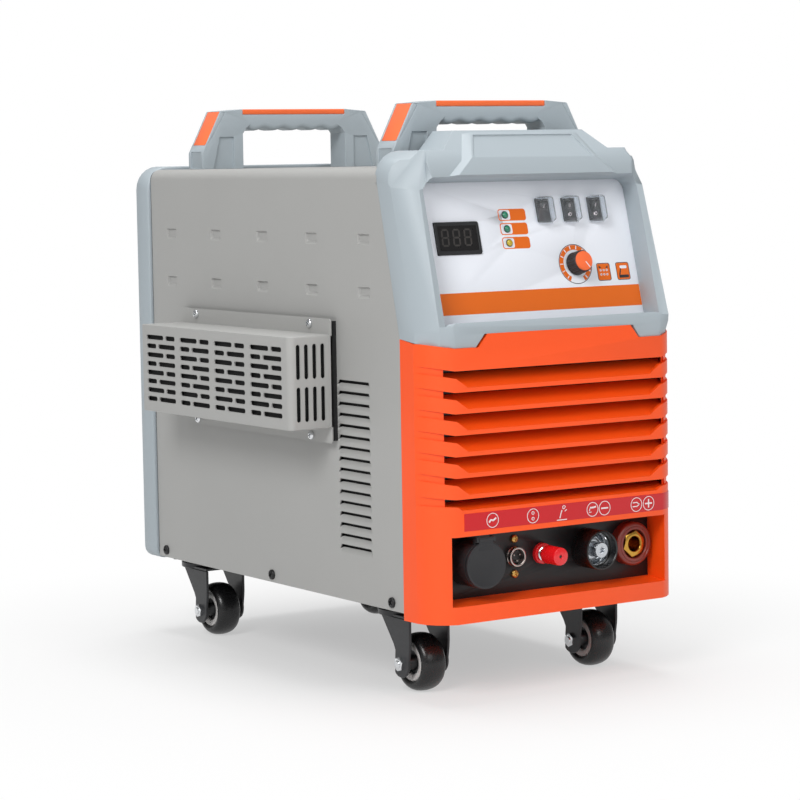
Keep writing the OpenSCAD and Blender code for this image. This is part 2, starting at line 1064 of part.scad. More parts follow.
// A flat box centred on u and v, from z = low to z = high.
module pad(size, low, high) {
  translate([-size.x / 2, -size.y / 2, low])
    cube([size.x, size.y, high - low]);
}

module control_panel() {
  gaps = [2 * cut_gap, 2 * cut_gap];
  edge = panel_overlap;
  color("#E6E9F0")
    row()
      difference() {
        on_control(0, 0)
          block(
            [-control_half - edge, control_low - edge, -panel_plate],
            [control_half + edge, control_high + edge, 0]
          );
        on_control(display_u, display_v)
          pad(display_size + gaps, -panel_plate - eps, eps);
        for (v = lamp_v)
          on_control(lamp_u, v)
            translate([0, 0, -panel_plate - eps])
              cylinder(d = lamp_diameter + 2 * cut_gap, h = panel_plate + 2 * eps);
        for (u = switch_u)
          on_control(u, switch_v)
            pad(switch_body + gaps, -panel_plate - eps, eps);
        on_control(knob_u, knob_v)
          translate([0, 0, -panel_plate - eps])
            cylinder(d = bush + 2 * cut_gap, h = panel_plate + 2 * eps);
      }
}

module display_window() {
  rim = [display_rim, display_rim];
  color("#1A1416")
    row()
      on_control(display_u, display_v) {
        pad(display_size, -panel_plate - eps, lens_rise);
        pad(display_size + rim, board_face - control_face, -panel_plate);
      }
}

module indicator_lamps() {
  color("#3FA05A")
    row()
      for (v = lamp_v)
        on_control(lamp_u, v) {
          translate([0, 0, -panel_plate - eps])
            cylinder(d = lamp_diameter, h = panel_plate + lamp_rise + eps);
          translate([0, 0, board_face - control_face])
            cylinder(d = lamp_diameter + lamp_flange, h = -panel_plate - board_face + control_face);
        }
}

module switch_bodies() {
  flange = [boot_size.x - 2 * boot_wall - 2 * cut_gap, boot_size.y - 2 * boot_wall - 2 * cut_gap];
  color(black_steel)
    row()
      for (u = switch_u)
        on_control(u, switch_v)
          difference() {
            union() {
              pad(flange, 0, switch_flange);
              pad(switch_body, board_face - control_face, eps);
            }
            pad(cavity, switch_flange - cavity_depth, switch_flange + eps);
            translate([-switch_body.x / 2 - eps, 0, -rocker_pivot])
              rotate([0, 90, 0])
                cylinder(d = rocker_pin + 2 * running, h = switch_body.x + 2 * eps);
          }
}

module switch_covers() {
  inner = [boot_size.x - 2 * boot_wall, boot_size.y - 2 * boot_wall];
  color("#D8E0E6")
    row()
      for (u = switch_u)
        on_control(u, switch_v)
          difference() {
            pad(boot_size, 0, boot_size.z);
            pad(inner, -eps, boot_size.z - boot_wall);
          }
}

// A rocker, stored tilted towards the lower end.
module rocker(u) {
  width = cavity.x - 2 * side_gap;
  color("#26262A")
    row()
      on_control(u, switch_v)
        translate([0, 0, -rocker_pivot])
          rotate([rocker_tilt, 0, 0]) {
            translate([-width / 2, 0, 0])
              rotate([90, 0, 90])
                linear_extrude(width)
                  polygon([
                    [-rocker_half, rocker_rise],
                    [-rocker_half, rocker_edge],
                    [-rocker_keel.x, -rocker_keel.y],
                    [rocker_keel.x, -rocker_keel.y],
                    [rocker_half, rocker_edge],
                    [rocker_half, rocker_rise],
                    [0, rocker_rise - rocker_edge]
                  ]);
            translate([-switch_body.x / 2, 0, 0])
              rotate([0, 90, 0])
                cylinder(d = rocker_pin, h = switch_body.x);
          }
}

module rocker_left() {
  rocker(switch_u[0]);
}

module rocker_middle() {
  rocker(switch_u[1]);
}

module rocker_right() {
  rocker(switch_u[2]);
}

module potentiometer() {
  color(zinc)
    row()
      on_control(knob_u, knob_v)
        difference() {
          union() {
            translate([0, 0, -panel_plate - pot_depth])
              cylinder(d = pot_diameter, h = pot_depth);
            translate([0, 0, -panel_plate - eps])
              cylinder(d = bush, h = panel_plate + eps);
            pad([pot_diameter, pot_diameter / 2], board_face - control_face, -panel_plate - pot_depth);
          }
          translate([0, 0, -panel_plate - pot_depth / 2])
            cylinder(d = shaft + 2 * running, h = panel_plate + pot_depth);
        }
}

module knob() {
  shaft_low = -panel_plate - pot_depth / 2 + side_gap;
  color(black_steel)
    row()
      on_control(knob_u, knob_v) {
        difference() {
          translate([0, 0, side_gap])
            cylinder(d = knob_diameter, h = knob_height);
          for (i = [0:knob_flutes - 1])
            rotate(i * 360 / knob_flutes)
              translate([knob_diameter / 2 + flute_out, 0, knob_skirt])
                cylinder(d = flute, h = knob_height);
        }
        translate([0, 0, shaft_low])
          cylinder(d = shaft, h = side_gap - shaft_low + eps);
      }
}

module knob_cap() {
  cap = knob_diameter - 2 * cap_rim;
  color(orange_plastic)
    row()
      on_control(knob_u, knob_v)
        translate([0, 0, side_gap + knob_height]) {
          cylinder(d = cap, h = knob_cap_rise);
          translate([-pointer / 2, 0, 0])
            cube([pointer, cap / 2 - pointer_in, knob_cap_rise + pointer_rise]);
        }
}

module control_board() {
  margin = 8;
  color(board_green)
    row()
      lean()
        block(
          [-control_half + margin, knob_v - pot_diameter, board_face - pan_sheet],
          [control_half - margin, control_high - margin, board_face]
        );
}

// Connector panel and its connectors

outlet_barrel = 30;
outlet_collar = 23;
outlet_wall = 3;
outlet_cup = 20;
lid_gap = 0.5;
lid_thick = 3;
lid_neck = 14.6;
hinge_rise = 21.8;
hinge_radius = 2;
hinge_pin = 2;
ear_width = 2;
ear_drop = 7;
ear_root = 3;
lid_tongue = 10;
contact = [2, 5, 8];
contact_in = 6;
trigger_diameter = 17;
trigger_rise = 6;
trigger_core = 12.8;
trigger_wall = 1;
trigger_depth = 18;
trigger_floor = 1;
trigger_pin = 1.6;
trigger_pin_reach = 4;
trigger_pin_ring = 3.6;
post_stem = 6;
post_base = 18;
post_base_rise = 4;
post_tail = 18;
post_hole = 2;
cap_low = 9;
cap_roof = 7;
cap_dot = 3;
cap_dot_depth = 6;
torch_rise = 22;
torch_wall = 2;
torch_hex = 21.9;
torch_hex_rise = 12;
torch_stud_rise = 21;
torch_gas_bore = 5;
torch_floor = 3;
torch_tail = 12;
torch_reach = 25;
earth_rise = 10;
earth_hex = 23.8;
earth_hex_rise = 4.5;
earth_floor = 1;
earth_recess = 1;
earth_depth = 30;
earth_end = 8.5;
earth_tail = 20;
seat_edge = 3;

module seat_hole(x, d) {
  connector(x, connector_z)
    translate([0, 0, -seat_plate - eps])
      cylinder(d = d + 2 * cut_gap, h = seat_plate + 2 * eps);
}

module connector_panel() {
  color(black_steel)
    row()
      difference() {
        block(
          [-recess_half - seat_edge, seat_y, recess_low - seat_edge],
          [recess_half + seat_edge, seat_y + seat_plate, recess_high + seat_edge]
        );
        seat_hole(outlet_x, outlet_barrel);
        seat_hole(trigger_x, trigger_core + 2 * trigger_wall);
        seat_hole(pilot_x, post_stem + 2 * post_hole);
        seat_hole(torch_x, torch_tail);
        seat_hole(earth_x, earth_tail);
        for (s = [-1, 1])
          connector(trigger_x, connector_z + s * seat_screw_span / 2)
            translate([0, 0, -seat_plate - eps])
              cylinder(d = seat_screw + 2 * cut_gap, h = seat_plate + 2 * eps);
      }
}

label_rise = 4.5;
label_low = recess_high + label_rise;
label_height = 14.5;
label_in = 30;
label_left = label_in - half;
label_thick = 0.4;
label_end = 3;

// Red strip that runs across the front face and round the right-hand corner.
module label_strip() {
  color("#D4202E")
    row()
      intersection() {
        translate([0, 0, label_low])
          linear_extrude(label_height)
            difference() {
              polygon(inset(plan_outline(0), -label_thick));
              polygon(plan_outline(0));
            }
        block(
          [label_left, front_y - 1, label_low - 1],
          [half - label_end, -front_depth + corner_back - label_end, label_low + label_height + 1]
        );
      }
}

// Contact holes in the face of a socket.
module contact_slots() {
  for (a = [0, 120, 240])
    rotate(a)
      translate([-contact.x / 2, contact_in, -contact.z])
        cube([contact.x, contact.y, contact.z + eps]);
}

module outlet_body() {
  cup = outlet_diameter - 2 * outlet_wall;
  ear_x = lid_neck / 2 + side_gap;
  color(black_steel)
    row()
      connector(outlet_x, connector_z)
        difference() {
          union() {
            cylinder(d = outlet_diameter, h = outlet_collar);
            translate([0, 0, -seat_plate - outlet_cup])
              cylinder(d = outlet_barrel, h = seat_plate + outlet_cup + eps);
            both_sides()
              translate([ear_x, 0, 0])
                rotate([90, 0, 90])
                  linear_extrude(ear_width)
                    polygon([
                      [hinge_rise - ear_drop, outlet_collar - ear_root],
                      [hinge_rise - ear_drop, outlet_collar],
                      [hinge_rise - hinge_radius, outlet_collar],
                      [hinge_rise - hinge_radius, outlet_collar + lid_gap + lid_thick],
                      [hinge_rise + hinge_radius, outlet_collar + lid_gap + lid_thick],
                      [hinge_rise + hinge_radius, outlet_collar - ear_root]
                    ]);
          }
          translate([0, 0, outlet_collar - outlet_cup])
            cylinder(d = cup, h = outlet_cup + eps);
          translate([0, 0, outlet_collar - outlet_cup])
            contact_slots();
          translate([-outlet_diameter / 2, hinge_rise, outlet_collar + lid_gap + lid_thick / 2])
            rotate([0, 90, 0])
              cylinder(d = hinge_pin + 2 * running, h = outlet_diameter);
        }
}

module outlet_lid() {
  pin_half = lid_neck / 2 + side_gap + ear_width;
  color("#26282B")
    row()
      connector(outlet_x, connector_z)
        translate([0, 0, outlet_collar + lid_gap]) {
          cylinder(d = outlet_diameter, h = lid_thick);
          block([-lid_neck / 2, hinge_rise - lid_tongue, 0], [lid_neck / 2, hinge_rise, lid_thick]);
          translate([-lid_neck / 2, hinge_rise, lid_thick / 2])
            rotate([0, 90, 0])
              cylinder(r = hinge_radius, h = lid_neck);
          translate([-pin_half, hinge_rise, lid_thick / 2])
            rotate([0, 90, 0])
              cylinder(d = hinge_pin, h = 2 * pin_half);
        }
}

module trigger_socket() {
  color(zinc)
    row()
      connector(trigger_x, connector_z)
        difference() {
          union() {
            cylinder(d = trigger_diameter, h = trigger_rise);
            translate([0, 0, -trigger_depth])
              cylinder(d = trigger_core + 2 * trigger_wall, h = trigger_depth + eps);
          }
          translate([0, 0, -trigger_depth - eps])
            cylinder(d = trigger_core + 2 * cut_gap, h = trigger_depth + trigger_rise + 2 * eps);
        }
}

module trigger_insert() {
  color(black_steel)
    row()
      connector(trigger_x, connector_z) {
        translate([0, 0, -trigger_depth])
          cylinder(d = trigger_core, h = trigger_depth + trigger_floor);
        for (a = [90, 210, 330])
          rotate(a)
            translate([trigger_pin_ring, 0, 0])
              cylinder(d = trigger_pin, h = trigger_pin_reach);
      }
}

module pilot_post() {
  color("#8E1420")
    row()
      connector(pilot_x, connector_z) {
        cylinder(d = post_base, h = post_base_rise);
        translate([0, 0, -post_tail])
          cylinder(d = post_stem, h = post_tail + pilot_reach - cap_roof - 1);
      }
}

module pilot_cap() {
  color("#E3202A")
    row()
      connector(pilot_x, connector_z)
        difference() {
          translate([0, 0, cap_low])
            cylinder(d = pilot_diameter, h = pilot_reach - cap_low);
          translate([0, 0, cap_low - eps])
            cylinder(d = post_stem + 2 * running, h = pilot_reach - cap_low - cap_roof);
          translate([0, 0, pilot_reach - cap_dot_depth])
            cylinder(d = cap_dot, h = cap_dot_depth + eps);
        }
}

module torch_insulator() {
  color(black_steel)
    row()
      connector(torch_x, connector_z)
        difference() {
          cylinder(d = torch_diameter, h = torch_rise);
          translate([0, 0, torch_floor])
            cylinder(d = torch_diameter - 2 * torch_wall, h = torch_rise);
          translate([0, 0, -eps])
            cylinder(d = torch_tail + 2 * cut_gap, h = torch_floor + 2 * eps);
        }
}

module torch_fitting() {
  color(zinc)
    row()
      connector(torch_x, connector_z)
        difference() {
          union() {
            translate([0, 0, torch_floor])
              cylinder(d = torch_hex, h = torch_hex_rise - torch_floor, $fn = 6);
            translate([0, 0, -torch_reach])
              cylinder(d = torch_tail, h = torch_reach + torch_floor + eps);
            translate([0, 0, torch_hex_rise - eps])
              cylinder(d = torch_stud, h = torch_stud_rise - torch_hex_rise + eps);
          }
          translate([0, 0, -torch_reach - eps])
            cylinder(d = torch_gas_bore, h = torch_reach + torch_stud_rise + 2 * eps);
        }
}

module earth_insulator() {
  color("#7A2A1E")
    row()
      connector(earth_x, connector_z)
        difference() {
          cylinder(d = earth_diameter, h = earth_rise);
          translate([0, 0, earth_floor])
            cylinder(d = earth_hex + 2 * earth_recess, h = earth_rise);
          translate([0, 0, -eps])
            cylinder(d = earth_tail + 2 * cut_gap, h = earth_floor + 2 * eps);
        }
}

module earth_socket() {
  color(brass)
    row()
      connector(earth_x, connector_z)
        difference() {
          union() {
            translate([0, 0, earth_floor])
              cylinder(d = earth_hex, h = earth_hex_rise - earth_floor, $fn = 6);
            translate([0, 0, -earth_depth])
              cylinder(d = earth_tail, h = earth_depth + earth_floor + eps);
          }
          translate([0, 0, earth_end - earth_depth])
            cylinder(d = earth_bore, h = earth_depth);
        }
}

// Casters

plate_size = [60, 42, 2.5];
race_diameter = 34;
race_height = 3;
king_pin = 10;
crown_top = -5.8;
crown_low = -11;
crown_radius = 27;
king_head = 16;
king_head_rise = 2;
bolt_head = 8;
bolt_head_rise = 2;
bolt_in = 6;
ear_gap = 18.4;
ear_thick = 2.6;
ear_front = 14;
ear_radius = 12;
ear_corner_rise = 12.2;
ear_elbow = [8, 11];
ear_spread = 7;
ear_arc = [160, 325];
axle = 8;
axle_head = 13;
axle_head_rise = 4;
hub_diameter = 16;
tread_round = 6;
caster_rear_y = cabinet_depth - caster_rear;

module caster_plates() {
  color(black_steel)
    row()
      both_sides()
        for (y = [caster_front, caster_rear_y])
          translate([caster_half, y, 0]) {
            translate([-plate_size.x / 2, -plate_size.y / 2, -plate_size.z])
              cube(plate_size);
            translate([0, 0, -plate_size.z - race_height])
              cylinder(d = race_diameter, h = race_height + eps);
            translate([0, 0, crown_low - side_gap])
              cylinder(d = king_pin, h = side_gap - crown_low - plate_size.z + eps);
            translate([0, 0, crown_low - side_gap - king_head_rise])
              cylinder(d = king_head, h = king_head_rise);
            for (sx = [-1, 1])
              for (sy = [-1, 1])
                translate([
                  sx * (plate_size.x / 2 - bolt_in),
                  sy * (plate_size.y / 2 - bolt_in),
                  -plate_size.z - bolt_head_rise
                ])
                  cylinder(d = bolt_head, h = bolt_head_rise + eps, $fn = 6);
          }
}

// Side view of a fork's ear, with the axle at the origin and the swivel axis towards +x.
function ear_outline() = concat(
  [[-ear_front, axle_drop + crown_low], [-ear_front, ear_corner_rise]],
  arc(0, 0, ear_radius, ear_arc.x, ear_arc.y),
  [ear_elbow, [caster_trail + ear_spread, axle_drop + crown_low]]
);

module fork_at(x, y) {
  color(black_steel)
    row()
      translate([x, y, 0]) {
        difference() {
          union() {
            translate([0, 0, crown_low])
              cylinder(r = crown_radius, h = crown_top - crown_low);
            block(
              [-ear_gap - ear_thick, -caster_trail - ear_front, crown_low],
              [ear_gap + ear_thick, 0, crown_low + ear_thick]
            );
          }
          translate([0, 0, crown_low - eps])
            cylinder(d = king_pin + 2 * running, h = crown_top - crown_low + 2 * eps);
        }
        translate([0, -caster_trail, -axle_drop]) {
          both_sides() {
            along_x(ear_gap, ear_gap + ear_thick)
              polygon(ear_outline());
            translate([ear_gap + ear_thick - eps, 0, 0])
              rotate([0, 90, 0])
                cylinder(d = axle_head, h = axle_head_rise, $fn = 6);
          }
          translate([-ear_gap - eps, 0, 0])
            rotate([0, 90, 0])
              cylinder(d = axle, h = 2 * ear_gap + 2 * eps);
        }
      }
}

module wheel_at(x, y) {
  r = wheel_diameter / 2;
  w = wheel_width / 2;
  hub_half = ear_gap - side_gap;
  color("#2A2A2C")
    row()
      translate([x, y - caster_trail, -axle_drop])
        rotate([0, 90, 0])
          difference() {
            union() {
              rotate_extrude()
                polygon(concat(
                  [[0, -w], [r - tread_round, -w]],
                  arc(r - tread_round, -w + tread_round, tread_round, -90, 0, 4),
                  arc(r - tread_round, w - tread_round, tread_round, 0, 90, 4),
                  [[0, w]]
                ));
              translate([0, 0, -hub_half])
                cylinder(d = hub_diameter, h = 2 * hub_half);
            }
            translate([0, 0, -hub_half - eps])
              cylinder(d = axle + 2 * running, h = 2 * hub_half + 2 * eps);
          }
}

module fork_front_left() {
  fork_at(-caster_half, caster_front);
}

module fork_front_right() {
  fork_at(caster_half, caster_front);
}

module fork_rear_left() {
  fork_at(-caster_half, caster_rear_y);
}

module fork_rear_right() {
  fork_at(caster_half, caster_rear_y);
}

module wheel_front_left() {
  wheel_at(-caster_half, caster_front);
}

module wheel_front_right() {
  wheel_at(caster_half, caster_front);
}

module wheel_rear_left() {
  wheel_at(-caster_half, caster_rear_y);
}

module wheel_rear_right() {
  wheel_at(caster_half, caster_rear_y);
}

// Inside the cabinet

shelf_z = 128;
shelf_flange = 12;
shelf_in = [30, 60];
shelf_y = [shelf_in[0], cabinet_depth - shelf_in[1]];
spacer = 8;
spacer_in = 8;
board_z = shelf_z + pan_sheet + spacer;
board_thick = 2;
capacitor = 30;
capacitor_height = 45;
capacitor_pitch = 39;
sink_fins = 9;
sink_pitch = 6;
sink_fin = 2;
sink_base = 6;
sink_height = 50;
sink_length = 90;
sink_gap = 30;
sink_in = [8, 20];
compressor_y = 110;
compressor_length = 160;
compressor_width = 120;
pump_head = 26;
pump_top = 18;
motor_radius = 34;
motor_foot = 4;
core_size = [58.8, 70, 78];
core_in = 11.8;
core_y = 150;
coil_rise = 8;
coil_low = 0.2;

module shelf() {
  color(grey_sheet)
    row()
      difference() {
        block([-pan_half, shelf_y[0], shelf_z - shelf_flange], [pan_half, shelf_y[1], shelf_z + pan_sheet]);
        block(
          [-pan_half + pan_sheet, shelf_y[0] - eps, shelf_z - shelf_flange - eps],
          [pan_half - pan_sheet, shelf_y[1] + eps, shelf_z]
        );
      }
}

board_width = 142;
board_in = 19;
board_x = [half - board_in - board_width, half - board_in];
board_ends = [60, 93];
board_y = [board_ends[0], cabinet_depth - board_ends[1]];

// Power board on four spacers, with its row of storage capacitors.
module power_board() {
  color(board_green)
    row() {
      block([board_x[0], board_y[0], board_z], [board_x[1], board_y[1], board_z + board_thick]);
      for (x = [board_x[0] + spacer_in, board_x[1] - spacer_in])
        for (y = [board_y[0] + spacer_in, board_y[1] - spacer_in])
          translate([x, y, shelf_z + pan_sheet])
            cylinder(d = spacer, h = spacer + eps);
      for (i = [0:3])
        translate([board_x[1] - capacitor, board_y[0] + capacitor + i * capacitor_pitch, board_z])
          cylinder(d = capacitor, h = capacitor_height);
    }
}

// Two finned heat sinks standing on the power board.
module heat_sinks() {
  color(zinc)
    row()
      for (k = [0, 1])
        translate([
          board_x[0] + sink_in.x,
          board_y[0] + sink_in.y + k * (sink_length + sink_gap),
          board_z + board_thick
        ]) {
          cube([(sink_fins - 1) * sink_pitch + sink_fin, sink_length, sink_base]);
          for (i = [0:sink_fins - 1])
            translate([i * sink_pitch, 0, sink_base - eps])
              cube([sink_fin, sink_length, sink_height]);
        }
}

// Laminated core with its coil round the middle leg.
module transformer() {
  color("#8C8F92")
    row()
      translate([core_in - pan_half, core_y, shelf_z + pan_sheet]) {
        cube(core_size);
        translate([-coil_rise / 2, -coil_rise, core_size.z * coil_low])
          cube([core_size.x + coil_rise, core_size.y + 2 * coil_rise, core_size.z * (1 - 2 * coil_low)]);
      }
}

// Air pump: a motor between two pump heads, on two feet.
module compressor() {
  y = compressor_y;
  side = compressor_width / 2;
  color("#6F7478")
    row() {
      for (k = [0, 1])
        block(
          [-side, y + k * (compressor_length - pump_head), pan_sheet],
          [
            side,
            y + pump_head + k * (compressor_length - pump_head),
            pan_sheet + 2 * motor_radius + pump_top
          ]
        );
      translate([0, y + pump_head - eps, pan_sheet + motor_radius + motor_foot])
        rotate([-90, 0, 0])
          cylinder(r = motor_radius, h = compressor_length - 2 * pump_head + 2 * eps);
    }
}

hose_diameter = 14;
hose_bore = 7;
fan_spoke = 5;
fan_gap = 4;
fan_end = 12;
fan_tip = 2;
blade_root = 2;
blade = [28, 2];
blade_turn = 40;

// Air hose from the pump to the torch connector's tail.
module air_hose() {
  color("#3A3D40")
    row()
      translate([torch_x, seat_y + torch_reach, connector_z])
        rotate([-90, 0, 0])
          tube(hose_diameter, hose_bore, compressor_y - seat_y - torch_reach);
}

module fan_frame() {
  spoke = fan_spoke;
  bearing = fan_shaft + 2 * running;
  color(black_steel)
    row()
      translate([0, rear_plate_y, fan_z])
        rotate([90, 0, 0])
          difference() {
            union() {
              difference() {
                translate([-fan_size / 2, -fan_size / 2, 0])
                  cube([fan_size, fan_size, fan_length]);
                translate([0, 0, -eps])
                  cylinder(d = fan_bore, h = fan_length + 2 * eps);
              }
              translate([0, 0, fan_length - spoke])
                cylinder(d = fan_hub, h = spoke);
              for (a = [0, 90])
                rotate(a)
                  translate([-fan_bore / 2 - 1, -spoke / 2, fan_length - spoke])
                    cube([fan_bore + 2, spoke, spoke]);
            }
            translate([0, 0, fan_length - spoke - eps])
              cylinder(d = bearing, h = spoke + 2 * eps);
          }
}

module fan_rotor() {
  depth = fan_length - fan_end;
  tip = fan_bore / 2 - fan_tip;
  color("#2C2C30")
    row()
      translate([0, rear_plate_y, fan_z])
        rotate([90, 0, 0]) {
          translate([0, 0, fan_gap])
            cylinder(d = fan_hub, h = depth);
          translate([0, 0, fan_gap])
            cylinder(d = fan_shaft, h = fan_length - fan_gap);
          for (i = [0:fan_blades - 1])
            rotate(i * 360 / fan_blades)
              translate([fan_hub / 2 - blade_root, 0, fan_gap + depth / 2])
                rotate([blade_turn, 0, 0])
                  translate([0, -blade.x / 2, -blade.y / 2])
                    cube([tip - fan_hub / 2, blade.x, blade.y]);
        }
}

gland_thread = 25;
gland_hex = 36;
gland_bore = 14;
gland_nut = 12;
gland_top = 28;
gland_end = 20;

module cable_gland() {
  color(black_steel)
    row()
      rear_fitting(gland_x, gland_z)
        difference() {
          union() {
            translate([0, 0, -gland_nut])
              cylinder(d = gland_thread, h = gland_nut + eps);
            cylinder(d = gland_hex, h = gland_nut, $fn = 6);
            translate([0, 0, gland_nut - eps])
              cylinder(d1 = gland_top, d2 = gland_end, h = gland_reach - gland_nut);
          }
          translate([0, 0, -gland_nut - eps])
            cylinder(d = gland_bore, h = gland_reach + gland_nut + 2 * eps);
        }
}

inlet_thread = 13;
inlet_hex = 20;
inlet_bore = 6;
inlet_tail = 14;
inlet_nut = 16;
barb = 10;
barb_neck = 8.5;
barb_end = 8;
barb_pitch = 6;
barb_length = 5;
barb_start = 20;

module air_inlet() {
  color(brass)
    row()
      rear_fitting(inlet_x, inlet_z)
        difference() {
          union() {
            translate([0, 0, -inlet_tail])
              cylinder(d = inlet_thread, h = inlet_tail + eps);
            cylinder(d = inlet_hex, h = inlet_nut, $fn = 6);
            translate([0, 0, inlet_nut - eps])
              cylinder(d = barb_neck, h = inlet_reach - inlet_nut);
            for (i = [0:3])
              translate([0, 0, barb_start + i * barb_pitch])
                cylinder(d1 = barb, d2 = barb_end, h = barb_length);
          }
          translate([0, 0, -inlet_tail - eps])
            cylinder(d = inlet_bore, h = inlet_reach + inlet_tail + 2 * eps);
        }
}

valve_size = [30, 40, 30];
valve_coil = 24;

// Solenoid valve on the inlet's inner end.
module solenoid_valve() {
  valve_y = rear_y - inlet_tail - valve_size.y;
  color(brass)
    row()
      translate([inlet_x, valve_y, inlet_z]) {
        translate([-valve_size.x / 2, 0, -valve_size.z / 2])
          cube(valve_size);
        translate([0, valve_size.y / 2, valve_size.z / 2 - eps])
          cylinder(d = valve_coil, h = valve_coil + eps);
      }
}

toggle_radius = 9;
toggle_width = 14;
toggle_pin = 3;
toggle_pin_end = 3;
toggle_lever = 12;
breaker_rim = 4;

module breaker() {
  slot = toggle_radius + side_gap;
  color(black_steel)
    row()
      rear_fitting(breaker_x, breaker_z)
        difference() {
          union() {
            translate([0, 0, -breaker_depth])
              pad(breaker_size, 0, breaker_depth + eps);
            pad(breaker_size + 2 * [breaker_rim, breaker_rim], 0, breaker_face);
          }
          translate([-toggle_width / 2 - side_gap, 0, breaker_face - toggle_pivot])
            rotate([0, 90, 0])
              cylinder(r = slot, h = toggle_width + 2 * side_gap);
          translate([-toggle_width / 2 - toggle_pin_end, 0, breaker_face - toggle_pivot])
            rotate([0, 90, 0])
              cylinder(d = toggle_pin + 2 * running, h = toggle_width + 2 * toggle_pin_end);
        }
}

// The breaker's toggle, stored tilted to its off side.
module breaker_toggle() {
  color("#1B1B1D")
    row()
      rear_fitting(breaker_x, breaker_z)
        translate([0, 0, breaker_face - toggle_pivot])
          rotate([toggle_tilt, 0, 0]) {
            translate([-toggle_width / 2, 0, 0])
              rotate([0, 90, 0])
                cylinder(r = toggle_radius, h = toggle_width);
            translate([-toggle_width / 2, -toggle_lever / 4, 0])
              cube([toggle_width, toggle_lever / 2, toggle_radius + toggle_lever]);
            translate([-toggle_width / 2 - toggle_pin_end, 0, 0])
              rotate([0, 90, 0])
                cylinder(d = toggle_pin, h = toggle_width + 2 * toggle_pin_end);
          }
}

base_pan();
cover();
front_grille();
front_bezel();
rear_frame();
rear_panel();
front_handle();
rear_handle();
front_handle_inserts();
rear_handle_inserts();
case_screws();
vent_hood();
hood_gasket();
panel_screws();
control_panel();
display_window();
indicator_lamps();
switch_bodies();
switch_covers();
rocker_left();
rocker_middle();
rocker_right();
potentiometer();
knob();
knob_cap();
connector_panel();
label_strip();
outlet_body();
outlet_lid();
trigger_socket();
trigger_insert();
pilot_post();
pilot_cap();
torch_insulator();
torch_fitting();
earth_insulator();
earth_socket();
caster_plates();
fork_front_left();
fork_front_right();
fork_rear_left();
fork_rear_right();
wheel_front_left();
wheel_front_right();
wheel_rear_left();
wheel_rear_right();
shelf();
power_board();
heat_sinks();
transformer();
control_board();
compressor();
air_hose();
fan_frame();
fan_rotor();
breaker();
breaker_toggle();
cable_gland();
air_inlet();
solenoid_valve();
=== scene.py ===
import math

import bmesh
import bpy
from mathutils import Matrix, Vector


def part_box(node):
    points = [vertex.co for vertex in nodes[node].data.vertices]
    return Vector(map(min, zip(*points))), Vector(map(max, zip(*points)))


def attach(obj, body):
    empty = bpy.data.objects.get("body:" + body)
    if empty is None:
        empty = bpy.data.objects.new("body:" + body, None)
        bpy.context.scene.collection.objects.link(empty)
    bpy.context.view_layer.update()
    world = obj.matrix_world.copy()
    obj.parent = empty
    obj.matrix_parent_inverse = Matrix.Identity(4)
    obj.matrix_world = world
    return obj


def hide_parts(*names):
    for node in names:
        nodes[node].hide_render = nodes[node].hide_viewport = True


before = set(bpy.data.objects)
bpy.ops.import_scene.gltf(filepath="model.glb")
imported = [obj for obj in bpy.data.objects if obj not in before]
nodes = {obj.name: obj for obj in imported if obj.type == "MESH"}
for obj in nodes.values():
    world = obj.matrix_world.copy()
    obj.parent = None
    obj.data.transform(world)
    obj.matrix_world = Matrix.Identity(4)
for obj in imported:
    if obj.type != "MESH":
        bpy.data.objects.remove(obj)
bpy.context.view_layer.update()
scene = bpy.context.scene
print("frame loaded with", len(nodes), "nodes")

# Shapes are drawn in millimetres, from the middle of the cover's lower front edge, and placed by this matrix
coverLow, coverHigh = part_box("cover")
middleX = (coverLow.x + coverHigh.x) / 2
cabinet = Matrix.Translation((middleX, coverLow.y, coverLow.z)) @ Matrix.Scale(0.001, 4)

# Sizes that several pieces share
machine = {
    "halfWidth": 131, "depth": 423, "height": 370,
    "frontReach": 41, "seamHeight": 233, "lean": 14.6,
    "controlDepth": 20, "connectorPanelY": -21, "connectorHeight": 41,
    "casterHalf": 91, "casterFrontY": 57, "casterRearY": 401.5,
}

leanFrame = Matrix.Translation((0, -machine["frontReach"], machine["seamHeight"])) \
    @ Matrix.Rotation(math.radians(90 - machine["lean"]), 4, "X")


def onControl(u, v, rise=0):  # a point of the control panel's face, z out of the face
    return leanFrame @ Matrix.Translation((u, v, rise - machine["controlDepth"]))


def onConnectors(x, z=machine["connectorHeight"], rise=0):  # a point of the connector panel, z to the front
    y = machine["connectorPanelY"] - rise
    return Matrix.Translation((x, y, z)) @ Matrix.Rotation(math.radians(90), 4, "X")


# Plates drawn as (y, z) with their thickness along x, and plates drawn as (x, z) with it along y
def facingX(x=0, sign=1):
    return Matrix(((0, 0, sign, x), (1, 0, 0, 0), (0, 1, 0, 0), (0, 0, 0, 1)))


def facingY(y=0, sign=1):
    return Matrix(((1, 0, 0, 0), (0, 0, sign, y), (0, 1, 0, 0), (0, 0, 0, 1)))


def clamp(share):
    return min(1.0, max(0.0, share))


def pick(sizes, keys):
    return [sizes[key] for key in keys.split()]


# Colours and nodes
def toLinear(hexColour, tone=1.0):
    channels = [int(hexColour[i:i + 2], 16) / 255 for i in (1, 3, 5)]
    linear = [c / 12.92 if c <= 0.04045 else ((c + 0.055) / 1.055) ** 2.4 for c in channels]
    return (*[min(c * tone, 1.0) for c in linear], 1.0)


def addNode(tree, kind, settings=None, links=None):
    node = tree.nodes.new(kind)
    for key, value in (settings or {}).items():
        if hasattr(node, key):
            setattr(node, key, value)
        else:
            node.inputs[key].default_value = value
    for key, source in (links or {}).items():
        tree.links.new(source, node.inputs[key])
    return node


